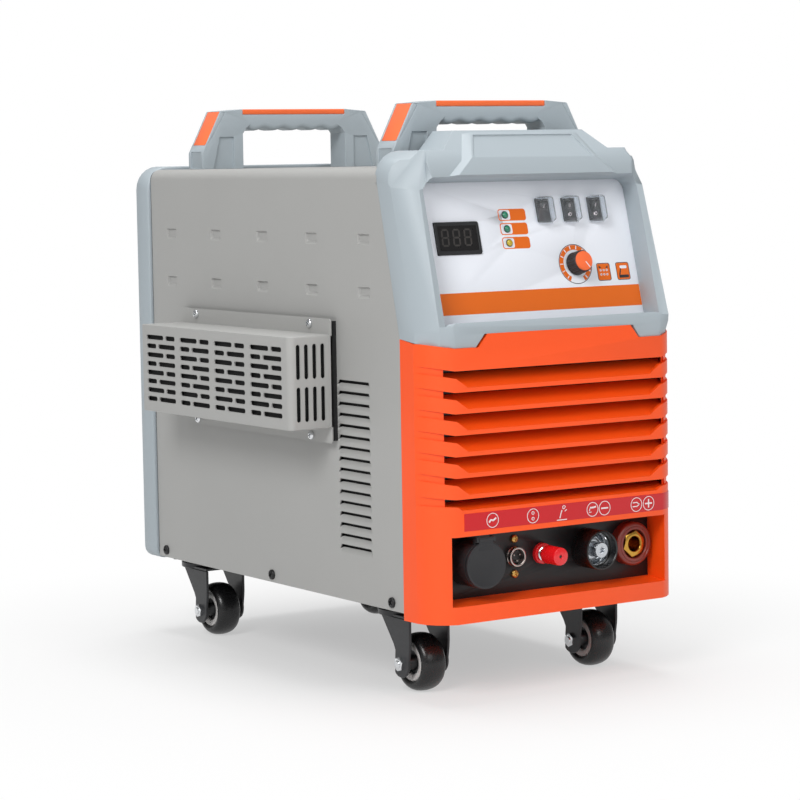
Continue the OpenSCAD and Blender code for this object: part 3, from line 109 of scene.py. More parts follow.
def addMath(tree, operation, a, b):
    return addNode(tree, "ShaderNodeMath", {"operation": operation}, {0: a, 1: b}).outputs[0]


def startMaterial(name):
    material = bpy.data.materials.new(name)
    material.use_nodes = True
    tree = material.node_tree
    tree.nodes.clear()
    output = addNode(tree, "ShaderNodeOutputMaterial")
    shader = addNode(tree, "ShaderNodeBsdfPrincipled")
    tree.links.new(shader.outputs["BSDF"], output.inputs["Surface"])
    place = addNode(tree, "ShaderNodeTexCoord")
    return material, tree, shader, place


def addNoise(tree, vector, sizeMm, detail=2.0, roughness=0.5):
    settings = {"Scale": 1000 / sizeMm, "Detail": detail, "Roughness": roughness}
    return addNode(tree, "ShaderNodeTexNoise", settings, {"Vector": vector}).outputs["Fac"]


def tintFrom(tree, shader, noise, colour, drift):
    tint = addNode(tree, "ShaderNodeMix", {"data_type": "RGBA"}, {0: noise})
    tint.inputs[6].default_value = toLinear(colour, 1 - drift)
    tint.inputs[7].default_value = toLinear(colour, 1 + drift)
    tree.links.new(tint.outputs[2], shader.inputs["Base Color"])


def roughFrom(tree, shader, noise, least, most, span=(0.3, 0.7)):
    settings = {"From Min": span[0], "From Max": span[1], "To Min": least, "To Max": most}
    rough = addNode(tree, "ShaderNodeMapRange", settings, {"Value": noise})
    tree.links.new(rough.outputs["Result"], shader.inputs["Roughness"])


def bumpFrom(tree, shader, noise, heightUm):
    bump = addNode(tree, "ShaderNodeBump", {"Strength": 1.0, "Distance": heightUm / 1e6}, {"Height": noise})
    tree.links.new(bump.outputs["Normal"], shader.inputs["Normal"])


# A surface whose colour drifts a little over mottleMm and whose grain of grainMm stands up by grainUm
def grainedSurface(name, colour, drift, mottleMm, rough, roughDrift, grainMm, grainUm, ior, coat=0,
                   coatRough=0, sheen=0):
    material, tree, shader, place = startMaterial(name)
    mottle = addNoise(tree, place.outputs["Object"], mottleMm, 3.0)
    grain = addNoise(tree, place.outputs["Object"], grainMm, 2.0, 0.6)
    tintFrom(tree, shader, mottle, colour, drift)
    roughFrom(tree, shader, grain, rough - roughDrift, rough + roughDrift)
    bumpFrom(tree, shader, grain, grainUm)
    shader.inputs["IOR"].default_value = ior
    if coat:
        shader.inputs["Coat Weight"].default_value = coat
        shader.inputs["Coat Roughness"].default_value = coatRough
    if sheen:
        shader.inputs["Sheen Weight"].default_value = sheen
    return material


# Metal with stains of stainMm and tool marks of markMm, drawn out along one axis of the object by stretch
def workedMetal(name, colour, drift, stainMm, rough, markMm, markUm, stretch=(1, 1, 1)):
    material, tree, shader, place = startMaterial(name)
    stretched = addNode(tree, "ShaderNodeMapping", {"Scale": stretch}, {"Vector": place.outputs["Object"]})
    marks = addNoise(tree, stretched.outputs["Vector"], markMm, 4.0, 0.65)
    tintFrom(tree, shader, addNoise(tree, place.outputs["Object"], stainMm, 3.0), colour, drift)
    roughFrom(tree, shader, marks, rough * 0.75, rough * 1.3)
    bumpFrom(tree, shader, marks, markUm)
    shader.inputs["Metallic"].default_value = 1.0
    return material


# Clear plastic that light passes through, its haze in waves of hazeMm
def clearPlastic(name, colour, ior, clear, rough, hazeMm, hazeUm):
    material, tree, shader, place = startMaterial(name)
    haze = addNoise(tree, place.outputs["Object"], hazeMm)
    roughFrom(tree, shader, haze, rough * 0.7, rough * 1.4, (0, 1))
    bumpFrom(tree, shader, haze, hazeUm)
    shader.inputs["Base Color"].default_value = toLinear(colour)
    shader.inputs["IOR"].default_value = ior
    shader.inputs["Transmission Weight"].default_value = clear
    return material


# Each line: name, colour, drift, mottle in mm, roughness, its drift, grain in mm, its height in µm, index
# Polyester powder coat, baked: a flat grey with a fine orange peel that softens the lamps
powderGrey = grainedSurface("powderCoatedSheetGrey", "#A6A6A4", 0.02, 60, 0.48, 0.06, 1.3, 14, 1.5)
# The same coat in black on folded steel: deeper texture, a little shine
# Also on the shelf, whose black paints the shade seen through the louvres
powderBlack = grainedSurface("powderCoatedSteelBlack", "#0F0F11", 0.12, 25, 0.42, 0.08, 1.0, 22, 1.5)
# Cathodic dip paint on pressed steel: smooth dark grey of the forks
forkCharcoal = grainedSurface("dipPaintedSteelCharcoal", "#232427", 0.08, 18, 0.36, 0.07, 1.4, 8, 1.5)
# ABS, injection moulded in a spark-eroded tool: an even satin skin with a fine pebble grain
absBlueGrey = grainedSurface("mouldedAbsBlueGrey", "#A5AFB5", 0.02, 45, 0.5, 0.07, 0.8, 12, 1.54)
absOrange = grainedSurface("mouldedAbsOrange", "#FA5206", 0.03, 45, 0.45, 0.07, 0.8, 12, 1.54)
# Thermoplastic rubber, moulded over the handles: softer, duller orange
rubberOrange = grainedSurface("overmouldedRubberOrange", "#F56B30", 0.03, 20, 0.62, 0.06, 0.6, 14, 1.5,
                              sheen=0.15)
# Glass-filled nylon, moulded: near black, slightly streaky satin
nylonBlack = grainedSurface("mouldedNylonBlack", "#1F2022", 0.15, 8, 0.4, 0.1, 0.7, 10, 1.53)
# The same nylon with more pigment and a matter tool: the outlet's lid
lidCharcoal = grainedSurface("mouldedNylonCharcoal", "#1F1F22", 0.08, 9, 0.55, 0.06, 0.6, 9, 1.53)
# Glossier black nylon: shrouds, inserts and rockers
# Also the screen behind the grille's slats and the plug in the pilot post's hole, whose black paints the
# shade there
nylonDeepBlack = grainedSurface("mouldedNylonDeepBlack", "#0D0D0E", 0.15, 8, 0.3, 0.08, 0.9, 6, 1.53)
# Polycarbonate front foil, screen printed: smooth, matt and very slightly pebbled
foilWhite = grainedSurface("printedPolycarbonateWhite", "#E6E9F0", 0.008, 30, 0.38, 0.03, 0.5, 3, 1.58)
inkOrange = grainedSurface("screenInkOrange", "#E2680C", 0.02, 12, 0.4, 0.03, 0.4, 2, 1.5)
inkBlack = grainedSurface("screenInkBlack", "#2A2A2E", 0.05, 10, 0.42, 0.03, 0.4, 2, 1.5)
inkWhite = grainedSurface("screenInkWhite", "#E9DADA", 0.03, 6, 0.45, 0.03, 0.4, 2, 1.5)
# Self-adhesive vinyl film: flat red with a soft shine
vinylRed = grainedSurface("castVinylRed", "#CB0A16", 0.03, 18, 0.36, 0.04, 0.9, 4, 1.5)
# ABS with a high polish, for the binding post's barrel
absRed = grainedSurface("polishedAbsRed", "#E01820", 0.05, 7, 0.24, 0.05, 1.2, 3, 1.54, coat=0.3,
                        coatRough=0.1)
# Phenolic resin, pressed with wood flour: brown-red with darker specks
phenolicBrown = grainedSurface("pressedPhenolicBrown", "#7A2A1E", 0.22, 1.6, 0.34, 0.08, 0.8, 6, 1.6)
# Polyurethane, cast on the wheels: black with a faint moulded sheen
treadBlack = grainedSurface("castPolyurethaneBlack", "#151516", 0.25, 9, 0.3, 0.1, 1.1, 12, 1.5)
# Polypropylene, moulded: the pale grey rings of the wheel hubs
hubGrey = grainedSurface("mouldedPolypropyleneGrey", "#CCC9C7", 0.05, 6, 0.4, 0.06, 0.7, 6, 1.49)
# Closed-cell foam, cut from sheet: dull black with open cells of about a millimetre
# Also the near-black mats behind the louvres and in the hood and the strip in the rear gap, which paint the
# shade there
foamBlack = grainedSurface("cutFoamBlack", "#161617", 0.2, 4, 0.92, 0.05, 1.0, 180, 1.4, sheen=0.2)
# Vulcanised rubber hose: matt charcoal
rubberCharcoal = grainedSurface("vulcanisedRubberCharcoal", "#2B2C2E", 0.12, 10, 0.6, 0.08, 0.9, 14, 1.52)
# Epoxy glass board with solder mask: semi-gloss green over a weave of about half a millimetre
boardGreen = grainedSurface("solderMaskedEpoxyGreen", "#1F5A38", 0.12, 5, 0.28, 0.06, 0.5, 8, 1.55)

# Metals: name, colour, drift, stain in mm, roughness, marks in mm, their height in µm
# Zinc electroplate on steel: bright blue-white with soft streaks
zincBright = workedMetal("electroplatedZincBright", "#C6CACF", 0.08, 6, 0.24, 0.5, 3)
# Yellow chromate over zinc: gold with a pink and green cast
zincYellow = workedMetal("chromatedZincYellow", "#C9A15C", 0.25, 2.5, 0.28, 0.5, 3)
# Chromium plate, polished
chromeBright = workedMetal("polishedChromium", "#D9DBDD", 0.04, 5, 0.09, 0.8, 1)
# Nickel plate on turned brass: warm silver, faint rings from the lathe
nickelTurned = workedMetal("turnedNickelPlate", "#B9AEA9", 0.1, 4, 0.22, 0.5, 4, stretch=(1, 6, 1))
# Brass, turned and left bare: yellow, with tool rings about 0.4 mm apart
brassTurned = workedMetal("turnedBrass", "#C79A45", 0.16, 5, 0.24, 0.9, 5, stretch=(1, 5, 1))
# Aluminium, extruded: pale satin with die lines along its length
aluminiumExtruded = workedMetal("extrudedAluminium", "#C9CBCC", 0.06, 12, 0.34, 0.8, 6, stretch=(4, 0.3, 4))
# Aluminium, die cast: dull grey pump housings
aluminiumCast = workedMetal("castAluminium", "#8E9193", 0.12, 8, 0.5, 1.4, 40)
# Silicon steel, stacked: edges of 0.5 mm sheets, drawn 1.2 mm apart so that they show
steelLaminated = workedMetal("laminatedSiliconSteel", "#7E8082", 0.15, 10, 0.45, 1.2, 50,
                             stretch=(6, 0.2, 0.2))

# PVC, dip moulded: the switches' clear boots, a little hazy
bootClear = clearPlastic("mouldedPvcClear", "#F4F7FA", 1.2, 0.96, 0.08, 5, 20)
# Acrylic, cast and smoked: the display's window
acrylicSmoked = grainedSurface("castAcrylicSmoked", "#0F0D0E", 0.1, 15, 0.3, 0.03, 2, 1, 1.49)
# Epoxy lenses of the lamps, cast and tinted
lensGreen = grainedSurface("castEpoxyGreen", "#167A5A", 0.3, 2, 0.12, 0.03, 1.5, 2, 1.55, coat=0.6,
                           coatRough=0.05)
lensYellow = grainedSurface("castEpoxyYellow", "#B8A21E", 0.3, 2, 0.12, 0.03, 1.5, 2, 1.55, coat=0.6,
                            coatRough=0.05)
# Unlit segments, printed on the back of the window
segmentGrey = grainedSurface("printedSegmentGrey", "#3A3735", 0.1, 3, 0.4, 0.03, 0.5, 1, 1.5)
print("materials made:", len(bpy.data.materials))


def roundEdges(piece, width, segments=2):
    bevel = piece.modifiers.new("roundedEdges", "BEVEL")
    bevel.width = width / 1000
    bevel.segments = segments
    bevel.limit_method = "ANGLE"
    bevel.angle_limit = math.radians(30)
    bevel.use_clamp_overlap = True
    bevel.miter_outer = "MITER_ARC"
    bevel.harden_normals = True


# A piece with its finish, riding on one body and standing for the nodes that it replaces
def addPiece(name, bm, material, node, body="cabinet", replaces=(), rounding=0, segments=2, sharp=35):
    bmesh.ops.recalc_face_normals(bm, faces=bm.faces)
    bmesh.ops.transform(bm, matrix=cabinet, verts=bm.verts)
    mesh = bpy.data.meshes.new(name)
    bm.to_mesh(mesh)
    bm.free()
    mesh.materials.append(material)
    mesh.polygons.foreach_set("use_smooth", [True] * len(mesh.polygons))
    piece = bpy.data.objects.new(name, mesh)
    scene.collection.objects.link(piece)
    if rounding:
        roundEdges(piece, rounding, segments)
    else:
        mesh.set_sharp_from_angle(angle=math.radians(sharp))
    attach(piece, body)
    if replaces:
        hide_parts(*replaces)
    return piece


def addBox(bm, low, high, place=None):
    low, high = Vector(low), Vector(high)
    size = Matrix.Diagonal((*(high - low), 1))
    matrix = (place or Matrix()) @ Matrix.Translation((low + high) / 2) @ size
    bmesh.ops.create_cube(bm, size=1, matrix=matrix)


# A flat face in the plane z = 0 with holes, cut into triangles between the outlines' own points
def fillOutline(outline, holes=()):
    bm = bmesh.new()
    for points in (outline, *holes):
        loop = [bm.verts.new((x, y, 0)) for x, y in points]
        for a, b in zip(loop, loop[1:] + loop[:1]):
            bm.edges.new((a, b))
    bmesh.ops.triangle_fill(bm, use_beauty=True, use_dissolve=False, edges=bm.edges[:], normal=(0, 0, 1))
    bm.verts.index_update()
    return bm


# A plate between two heights, with holes through it
def addPlate(bm, outline, low, high, place=None, holes=()):
    place = place or Matrix()
    flat = fillOutline(outline, holes)
    tops = [bm.verts.new(place @ Vector((v.co.x, v.co.y, high))) for v in flat.verts]
    bottoms = [bm.verts.new(place @ Vector((v.co.x, v.co.y, low))) for v in flat.verts]
    for face in flat.faces:
        corners = [v.index for v in face.verts]
        bm.faces.new([tops[i] for i in corners])
        bm.faces.new([bottoms[i] for i in reversed(corners)])
    start = 0
    for points in (outline, *holes):
        for i in range(len(points)):
            a, b = start + i, start + (i + 1) % len(points)
            bm.faces.new((bottoms[a], bottoms[b], tops[b], tops[a]))
        start += len(points)
    flat.free()


# A turned solid: (radius, height) pairs along its section, radius 0 closing an end
def addLathe(bm, section, place=None, steps=48):
    place = place or Matrix()
    closed = section[0] == section[-1]
    rings = []
    for radius, height in section[:len(section) - closed]:
        count = steps if radius > 0 else 1
        rings.append([bm.verts.new(place @ Vector((radius * math.cos(2 * math.pi * i / steps),
                                                   radius * math.sin(2 * math.pi * i / steps), height)))
                      for i in range(count)])
    if closed:
        rings.append(rings[0])
    for low, high in zip(rings, rings[1:]):
        for i in range(steps):
            j = (i + 1) % steps
            corners = [low[i % len(low)], low[j % len(low)], high[j % len(high)], high[i % len(high)]]
            bm.faces.new(list(dict.fromkeys(corners)))


def arcPoints(x, y, radius, first, last, steps=6):
    angles = [math.radians(first + (last - first) * i / steps) for i in range(steps + 1)]
    return [(x + radius * math.cos(a), y + radius * math.sin(a)) for a in angles]


def roundedRect(x, y, width, height, radius, steps=5):  # centred on x, y
    a, b = width / 2 - radius, height / 2 - radius
    return [*arcPoints(x + a, y + b, radius, 0, 90, steps), *arcPoints(x - a, y + b, radius, 90, 180, steps),
            *arcPoints(x - a, y - b, radius, 180, 270, steps),
            *arcPoints(x + a, y - b, radius, 270, 360, steps)]


def circlePoints(x, y, radius, steps=32):
    return arcPoints(x, y, radius, 0, 360 - 360 / steps, steps - 1)


def capsule(x, y, width, height, steps=6):  # a slot with round ends, centred on x, y
    if width > height:
        a, r = (width - height) / 2, height / 2
        return [*arcPoints(x + a, y, r, -90, 90, steps), *arcPoints(x - a, y, r, 90, 270, steps)]
    a, r = (height - width) / 2, width / 2
    return [*arcPoints(x, y + a, r, 0, 180, steps), *arcPoints(x, y - a, r, 180, 360, steps)]


# Flat faces joined up
def joinFlats(bm):
    bmesh.ops.remove_doubles(bm, verts=bm.verts, dist=0.01)
    bmesh.ops.dissolve_limit(bm, angle_limit=math.radians(0.5), verts=bm.verts, edges=bm.edges)
    return bm


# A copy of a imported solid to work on, in the cabinet's millimetres
def copyNode(name):
    bm = bmesh.new()
    bm.from_mesh(nodes[name].data)
    bm.transform(cabinet.inverted() @ nodes[name].matrix_world)
    return joinFlats(bm)


def joinMesh(bm, other):
    mesh = bpy.data.meshes.new("joined")
    other.to_mesh(mesh)
    other.free()
    bm.from_mesh(mesh)
    bpy.data.meshes.remove(mesh)


def splitAt(bm, axis, place):
    bmesh.ops.bisect_plane(bm, geom=bm.verts[:] + bm.edges[:] + bm.faces[:], dist=0.01,
                           plane_co=Vector(axis) * place, plane_no=axis)


# A sheet without thickness, with holes
def addSheet(bm, outline, holes, place):
    flat = fillOutline(outline, holes)
    points = [bm.verts.new(place @ v.co) for v in flat.verts]
    for face in flat.faces:
        bm.faces.new([points[v.index] for v in face.verts])
    flat.free()


# A folded sheet in one piece, its faces turned outwards: on the whole they look along the given direction
def faceOutwards(bm, direction):
    bmesh.ops.remove_doubles(bm, verts=bm.verts, dist=0.005)
    bmesh.ops.recalc_face_normals(bm, faces=bm.faces)
    if sum(face.normal.dot(direction) * face.calc_area() for face in bm.faces) < 0:
        bmesh.ops.reverse_faces(bm, faces=bm.faces)


# A band of faces between closed rings of the same count
def joinRings(bm, rings):
    for low, high in zip(rings, rings[1:]):
        for i in range(len(low)):
            j = (i + 1) % len(low)
            bm.faces.new((low[i], low[j], high[j], high[i]))


def addTurned(name, section, place, steps, material, node, **how):
    bm = bmesh.new()
    addLathe(bm, section, place, steps)
    return addPiece(name, bm, material, node, **how)


def cutSolid(bm, tool, operation="DIFFERENCE"):
    parts = []
    for source in (bm, tool):
        bmesh.ops.recalc_face_normals(source, faces=source.faces)
        mesh = bpy.data.meshes.new("cutting")
        source.to_mesh(mesh)
        source.free()
        parts.append(bpy.data.objects.new("cutting", mesh))
        scene.collection.objects.link(parts[-1])
    cut = parts[0].modifiers.new("cut", "BOOLEAN")
    cut.operation = operation
    cut.solver = "EXACT"
    cut.object = parts[1]
    result = bmesh.new()
    result.from_object(parts[0], bpy.context.evaluated_depsgraph_get())
    for part in parts:
        mesh = part.data
        bpy.data.objects.remove(part)
        bpy.data.meshes.remove(mesh)
    return result


# An open line of a given width through points of a plane, printed as thick as a film
def addStroke(bm, points, width, place, film):
    left, right = [], []
    for i, (x, y) in enumerate(points):
        before, after = points[max(i - 1, 0)], points[min(i + 1, len(points) - 1)]
        dx, dy = after[0] - before[0], after[1] - before[1]
        nx, ny = (d * width / 2 / math.hypot(dx, dy) for d in (-dy, dx))
        left.append((x + nx, y + ny))
        right.append((x - nx, y - ny))
    addPlate(bm, left + right[::-1], 0, film, place)


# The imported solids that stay: each gets its finish and edges rounded by so many millimetres
def dressNode(name, material, rounding):
    node = nodes[name]
    for slot in node.material_slots:
        slot.material = material
    mesh = node.data
    mesh.normals_split_custom_set([(0, 0, 0)] * len(mesh.loops))
    mesh.polygons.foreach_set("use_smooth", [True] * len(mesh.polygons))
    weld = node.modifiers.new("weld", "WELD")
    weld.merge_threshold = 1e-5
    flatten = node.modifiers.new("flatten", "DECIMATE")
    flatten.decimate_type = "DISSOLVE"
    flatten.angle_limit = math.radians(0.5)
    roundEdges(node, rounding)


# Cover: one folded sheet with pressed dimples and louvres on both sides
def makeCover():
    sheet = {
        "thick": 1.2, "bend": 10, "rearGap": 1.3, "slantFrom": 229, "slant": 13.4,
        "dimpleStart": 52.8, "dimplePitch": 82.8, "dimples": 5, "dimpleHeights": (265.4, 310),
        "dimpleWidth": 18.6, "dimpleHeight": 9.8, "dimpleDepth": 2.1,
        "dimpleTop": 0.7, "dimpleSide": 1.3, "dimpleFoot": 3.2, "dimpleCorner": 1.3,
        "dimpleSlope": ((0, 0), (0.12, 0.04), (0.3, 0.22), (0.7, 0.78), (0.88, 0.96), (1, 1)),
        "louvres": 16, "louvreTop": 190, "louvrePitch": 9.46, "louvreFront": 46, "louvreRear": 97,
        "lipFade": 4.4, "lipGap": 2.8, "lipEnd": 4.4, "lipDrop": 2.6, "lipCorner": 3.4, "flare": 1.7,
        "lipSteps": (0, 0.8, 1.8, 3.0, 4.5, 8, 15), "lipShares": (0, 0.18, 0.36, 0.55, 0.75, 0.9, 1),
        "slitCorner": 0.8,
    }
    half, height, depth = pick(machine, "halfWidth height depth")
    depth -= sheet["rearGap"]
    bendZ = height - sheet["bend"]
    slope = math.tan(math.radians(sheet["slant"]))

    def frontAt(z):
        return max(0.0, (z - sheet["slantFrom"]) * slope)

    def dimple(y, z, share):  # its outline at a share of the way in: steep above, sloping below
        width = sheet["dimpleWidth"] - 2 * share * sheet["dimpleSide"]
        low = z - sheet["dimpleHeight"] / 2 + share * sheet["dimpleFoot"]
        high = z + sheet["dimpleHeight"] / 2 - share * sheet["dimpleTop"]
        return roundedRect(y, (low + high) / 2, width, high - low, sheet["dimpleCorner"], 4)

    # The lip pressed inwards below one slit: rows of (y, z, rise) from the sheet to the free edge
    def lipRows(top):
        front, rear = pick(sheet, "louvreFront louvreRear")
        fade = top - sheet["lipGap"] - sheet["lipFade"]
        along = sheet["lipSteps"]
        columns = [front + a for a in along] + [rear - a for a in reversed(along)]
        rows = []
        for t in sheet["lipShares"]:
            row = []
            for y in columns:
                into = min(1.0, min(y - front, rear - y) / sheet["lipCorner"])
                swell = math.sqrt(1 - (1 - into) ** 2)
                edge = top - sheet["lipEnd"] + (sheet["lipEnd"] - sheet["lipGap"]) * swell
                row.append((y, fade + t * (edge - fade), -sheet["lipDrop"] * swell * t ** 1.5))
            rows.append(row)
        return rows

    def slitOutline(top, rows):
        corner = sheet["slitCorner"]
        front, rear = sheet["louvreFront"] + sheet["flare"], sheet["louvreRear"] - sheet["flare"]
        bottom = [p[:2] for p in rows[0]]
        up = [row[-1][:2] for row in rows[1:]]
        down = [row[0][:2] for row in reversed(rows[1:])]
        return bottom + up + arcPoints(rear - corner, top - corner, corner, 0, 90, 4) \
            + arcPoints(front + corner, top - corner, corner, 90, 180, 4) + down

    dimples = [(sheet["dimpleStart"] + i * sheet["dimplePitch"], z)
               for i in range(sheet["dimples"]) for z in sheet["dimpleHeights"]]
    slitTops = [sheet["louvreTop"] - i * sheet["louvrePitch"] for i in range(sheet["louvres"])]
    lips = [lipRows(top) for top in slitTops]
    outline = [(0, 0), (depth, 0), (depth, bendZ), (frontAt(bendZ), bendZ), (0, sheet["slantFrom"])]
    holes = [dimple(y, z, 0) for y, z in dimples]
    holes += [slitOutline(top, rows) for top, rows in zip(slitTops, lips)]

    bm = bmesh.new()
    for side in (-1, 1):
        place = facingX(side * half, side)
        addSheet(bm, outline, holes, place)
        for y, z in dimples:
            rings = []
            for share, drop in sheet["dimpleSlope"]:
                sunk = -drop * sheet["dimpleDepth"]
                rings.append([bm.verts.new(place @ Vector((*p, sunk))) for p in dimple(y, z, share)])
            joinRings(bm, rings)
            bm.faces.new(rings[-1])
        for rows in lips:
            grid = [[bm.verts.new(place @ Vector(p)) for p in row] for row in rows]
            for low, high in zip(grid, grid[1:]):
                for i in range(len(low) - 1):
                    bm.faces.new((low[i], low[i + 1], high[i + 1], high[i]))
    fold = arcPoints(half - sheet["bend"], bendZ, sheet["bend"], 0, 90, 10)
    section = fold + [(-x, z) for x, z in reversed(fold)]
    rows = [(bm.verts.new((x, frontAt(z), z)), bm.verts.new((x, depth, z))) for x, z in section]
    for a, b in zip(rows, rows[1:]):
        bm.faces.new((a[0], b[0], b[1], a[1]))
    faceOutwards(bm, Vector((0, 0, 1)))
    bmesh.ops.solidify(bm, geom=bm.faces, thickness=sheet["thick"])
    addPiece("foldedCover", bm, powderGrey, "cover", replaces=["cover"], sharp=10)


makeCover()
print("cover folded")


# Vent hood: a box of sheet on the left side, its slots punched, bolted on over a foam gasket
def makeHood():
    hood = {
        "out": 49, "standOff": 6, "front": 95.5, "length": 260, "low": 148.5, "height": 80, "bend": 6,
        "thick": 1.2, "flange": 13.5, "flangeEnd": 4, "flangeRound": 3, "windowRim": 4, "windowRound": 2,
        "fold": 1.0, "slot": 4.3, "long": 31.5, "short": 18, "web": 3.5,
        "rows": 8, "rowPitch": 8.1, "groups": 4, "groupPitch": 62, "firstSlot": (12.4, 12),
        "endSlots": 4, "firstEnd": 3.0, "endPitch": 8.2, "endSlot": 4.1, "endHeight": 30, "endMargin": 6.8,
    }
    half = machine["halfWidth"]
    face, back = -half - hood["out"], -half - hood["standOff"]
    front, low, bend = pick(hood, "front low bend")
    rear, high = front + hood["length"], low + hood["height"]
    slots = []
    for r in range(hood["rows"]):
        z = low + hood["firstSlot"][1] + r * hood["rowPitch"]
        lengths = (hood["long"], hood["short"]) if r % 2 == 0 else (hood["short"], hood["long"])
        for g in range(hood["groups"]):
            y = front + hood["firstSlot"][0] + g * hood["groupPitch"]
            for length in lengths:
                slots.append(capsule(y + length / 2, z, length, hood["slot"]))
                y += length + hood["web"]
    bm = bmesh.new()
    addSheet(bm, [(front + bend, low), (rear, low), (rear, high), (front + bend, high)], slots,
             facingX(face, -1))
    endSlots = [capsule(face + bend + hood["firstEnd"] + i * hood["endPitch"], z + hood["endHeight"] / 2,
                        hood["endSlot"], hood["endHeight"])
                for i in range(hood["endSlots"])
                for z in (low + hood["endMargin"], high - hood["endMargin"] - hood["endHeight"])]
    addSheet(bm, [(face + bend, low), (back, low), (back, high), (face + bend, high)], endSlots,
             facingY(front))
    corner = arcPoints(face + bend, front + bend, bend, 180, 270, 8)
    plan = [(back, rear), (face, rear), *corner, (back, front)]
    for a, b in zip(plan[:1] + corner, plan[1:2] + corner[1:]):
        bm.faces.new([bm.verts.new((*p, z)) for p, z in ((a, low), (b, low), (b, high), (a, high))])
    for z in (low, high):
        bm.faces.new([bm.verts.new((*p, z)) for p in plan])
    faceOutwards(bm, Vector((-1, 0, 0)))
    folds = [e for e in bm.edges if len(e.link_faces) == 2 and e.calc_face_angle() > math.radians(60)]
    bmesh.ops.bevel(bm, geom=folds, offset=hood["fold"], offset_type="OFFSET", segments=4, profile=0.5,
                    affect="EDGES")
    bmesh.ops.solidify(bm, geom=bm.faces, thickness=hood["thick"])
    flange = roundedRect((front + rear + hood["flangeEnd"]) / 2, (low + high) / 2,
                         hood["length"] + hood["flangeEnd"], hood["height"] + 2 * hood["flange"],
                         hood["flangeRound"])
    window = roundedRect((front + rear) / 2, (low + high) / 2, hood["length"] - hood["windowRim"],
                         hood["height"] - hood["windowRim"], hood["windowRound"])
    addPlate(bm, flange, 0, hood["thick"], facingX(back, -1), [window])
    addPiece("ventHood", bm, powderGrey, "vent_hood", replaces=["vent_hood"], sharp=28)


makeHood()


# Filter mats behind the louvres and a dust screen in the hood, near black: partly real filters, partly
# painted shade, dark sheets that stand for the shade inside the slots so that nothing shows through
def makeFiltersAndSlotShade():
    mats = {
        "inset": 5, "thick": 2, "front": 43, "rear": 101, "low": 36, "high": 195, "notchGap": 1,
        "notchEnds": 2, "hoodFace": -175.8, "hoodFront": 99.7, "hoodRear": 354, "hoodBack": -138,
        "hoodLow": 150.5, "hoodHigh": 226.5,
    }
    inset, t, gap, ends = pick(mats, "inset thick notchGap notchEnds")

    def addSideBox(bm, side, outer, inner, longer):
        x = sorted((side * (machine["halfWidth"] - outer), side * (machine["halfWidth"] - inner)))
        addBox(bm, (x[0], mats["front"] - longer, mats["low"]), (x[1], mats["rear"] + longer, mats["high"]))

    bm, notches = bmesh.new(), bmesh.new()
    for side in (-1, 1):
        addSideBox(bm, side, inset, inset + t, 0)
        addSideBox(notches, side, -gap, inset + t + gap, ends)
    x, y, back, rear = pick(mats, "hoodFace hoodFront hoodBack hoodRear")
    addPlate(bm, [(x, y), (back, y), (back, y + t), (x + t, y + t), (x + t, rear), (x, rear)],
             mats["hoodLow"], mats["hoodHigh"])
    addPiece("filterMatsAndSlotShade", bm, foamBlack, "hood_gasket", rounding=0.4)
    # The shelf is notched where the mats stand; its black finish paints the shade seen through the louvres
    addPiece("shelfPlate", cutSolid(copyNode("shelf"), notches), powderBlack, "shelf", replaces=["shelf"],
             rounding=0.3)


makeFiltersAndSlotShade()


# A pan-head screw drawn with its head's base at the place's origin; the recess is a cross
def addScrew(bm, head, rise, place, shank=0.0, shankLength=0.0):
    dome = [(head / 2, 0), (head / 2, rise * 0.42), (head * 0.46, rise * 0.72), (head * 0.36, rise * 0.93),
            (head * 0.2, rise), (0, rise)]
    section = [(0, -shankLength), (shank / 2, -shankLength), (shank / 2, 0)] if shank else [(0, 0)]
    blank = bmesh.new()
    addLathe(blank, section + dome, steps=32)
    cross = bmesh.new()
    arm, slot = head * 0.3, head * 0.075
    outline = [(slot, slot), (slot, arm), (-slot, arm), (-slot, slot), (-arm, slot), (-arm, -slot),
               (-slot, -slot), (-slot, -arm), (slot, -arm), (slot, -slot), (arm, -slot), (arm, slot)]
    addPlate(cross, outline, rise * 0.4, rise * 1.5)
    cut = cutSolid(blank, cross)
    cut.transform(place)
    joinMesh(bm, cut)


# Screws: black ones hold the cover, plated ones the hood, yellow ones the trigger socket
def makeScrews():
    fixings = {
        "caseHead": 9, "caseRise": 2.6, "caseY": (17, 211.5, 407), "caseZ": 7,
        "hoodHead": 8, "hoodRise": 2.6, "hoodY": (128.5, 326.5), "hoodZ": (140, 237), "hoodOut": 7.2,
        "seatHead": 7, "seatRise": 2.2, "seatX": -32, "seatZ": (26, 56),
    }
    half = machine["halfWidth"]
    case = bmesh.new()
    for side in (-1, 1):
        for number, y in enumerate(fixings["caseY"]):
            turn = Matrix.Rotation(0.4 + 1.1 * number + side, 4, "Z")
            place = Matrix.Translation((side * half, y, fixings["caseZ"])) \
                @ Matrix.Rotation(side * math.radians(90), 4, "Y") @ turn
            addScrew(case, fixings["caseHead"], fixings["caseRise"], place)
    addPiece("caseScrews", case, powderBlack, "case_screws", replaces=["case_screws"])
    hood = bmesh.new()
    for number, (y, z) in enumerate((y, z) for y in fixings["hoodY"] for z in fixings["hoodZ"]):
        place = Matrix.Translation((-half - fixings["hoodOut"], y, z)) \
            @ Matrix.Rotation(math.radians(-90), 4, "Y") \
            @ Matrix.Rotation(0.3 + 0.9 * number, 4, "Z")
        addScrew(hood, fixings["hoodHead"], fixings["hoodRise"], place)
    addPiece("hoodScrews", hood, chromeBright, "panel_screws", replaces=["panel_screws"])
    seat = bmesh.new()
    for number, z in enumerate(fixings["seatZ"]):
        addScrew(seat, fixings["seatHead"], fixings["seatRise"],
                 onConnectors(fixings["seatX"], z) @ Matrix.Rotation(0.5 + number, 4, "Z"))
    addPiece("seatScrews", seat, zincYellow, "panel_screws")


makeScrews()
print("hood and screws made")


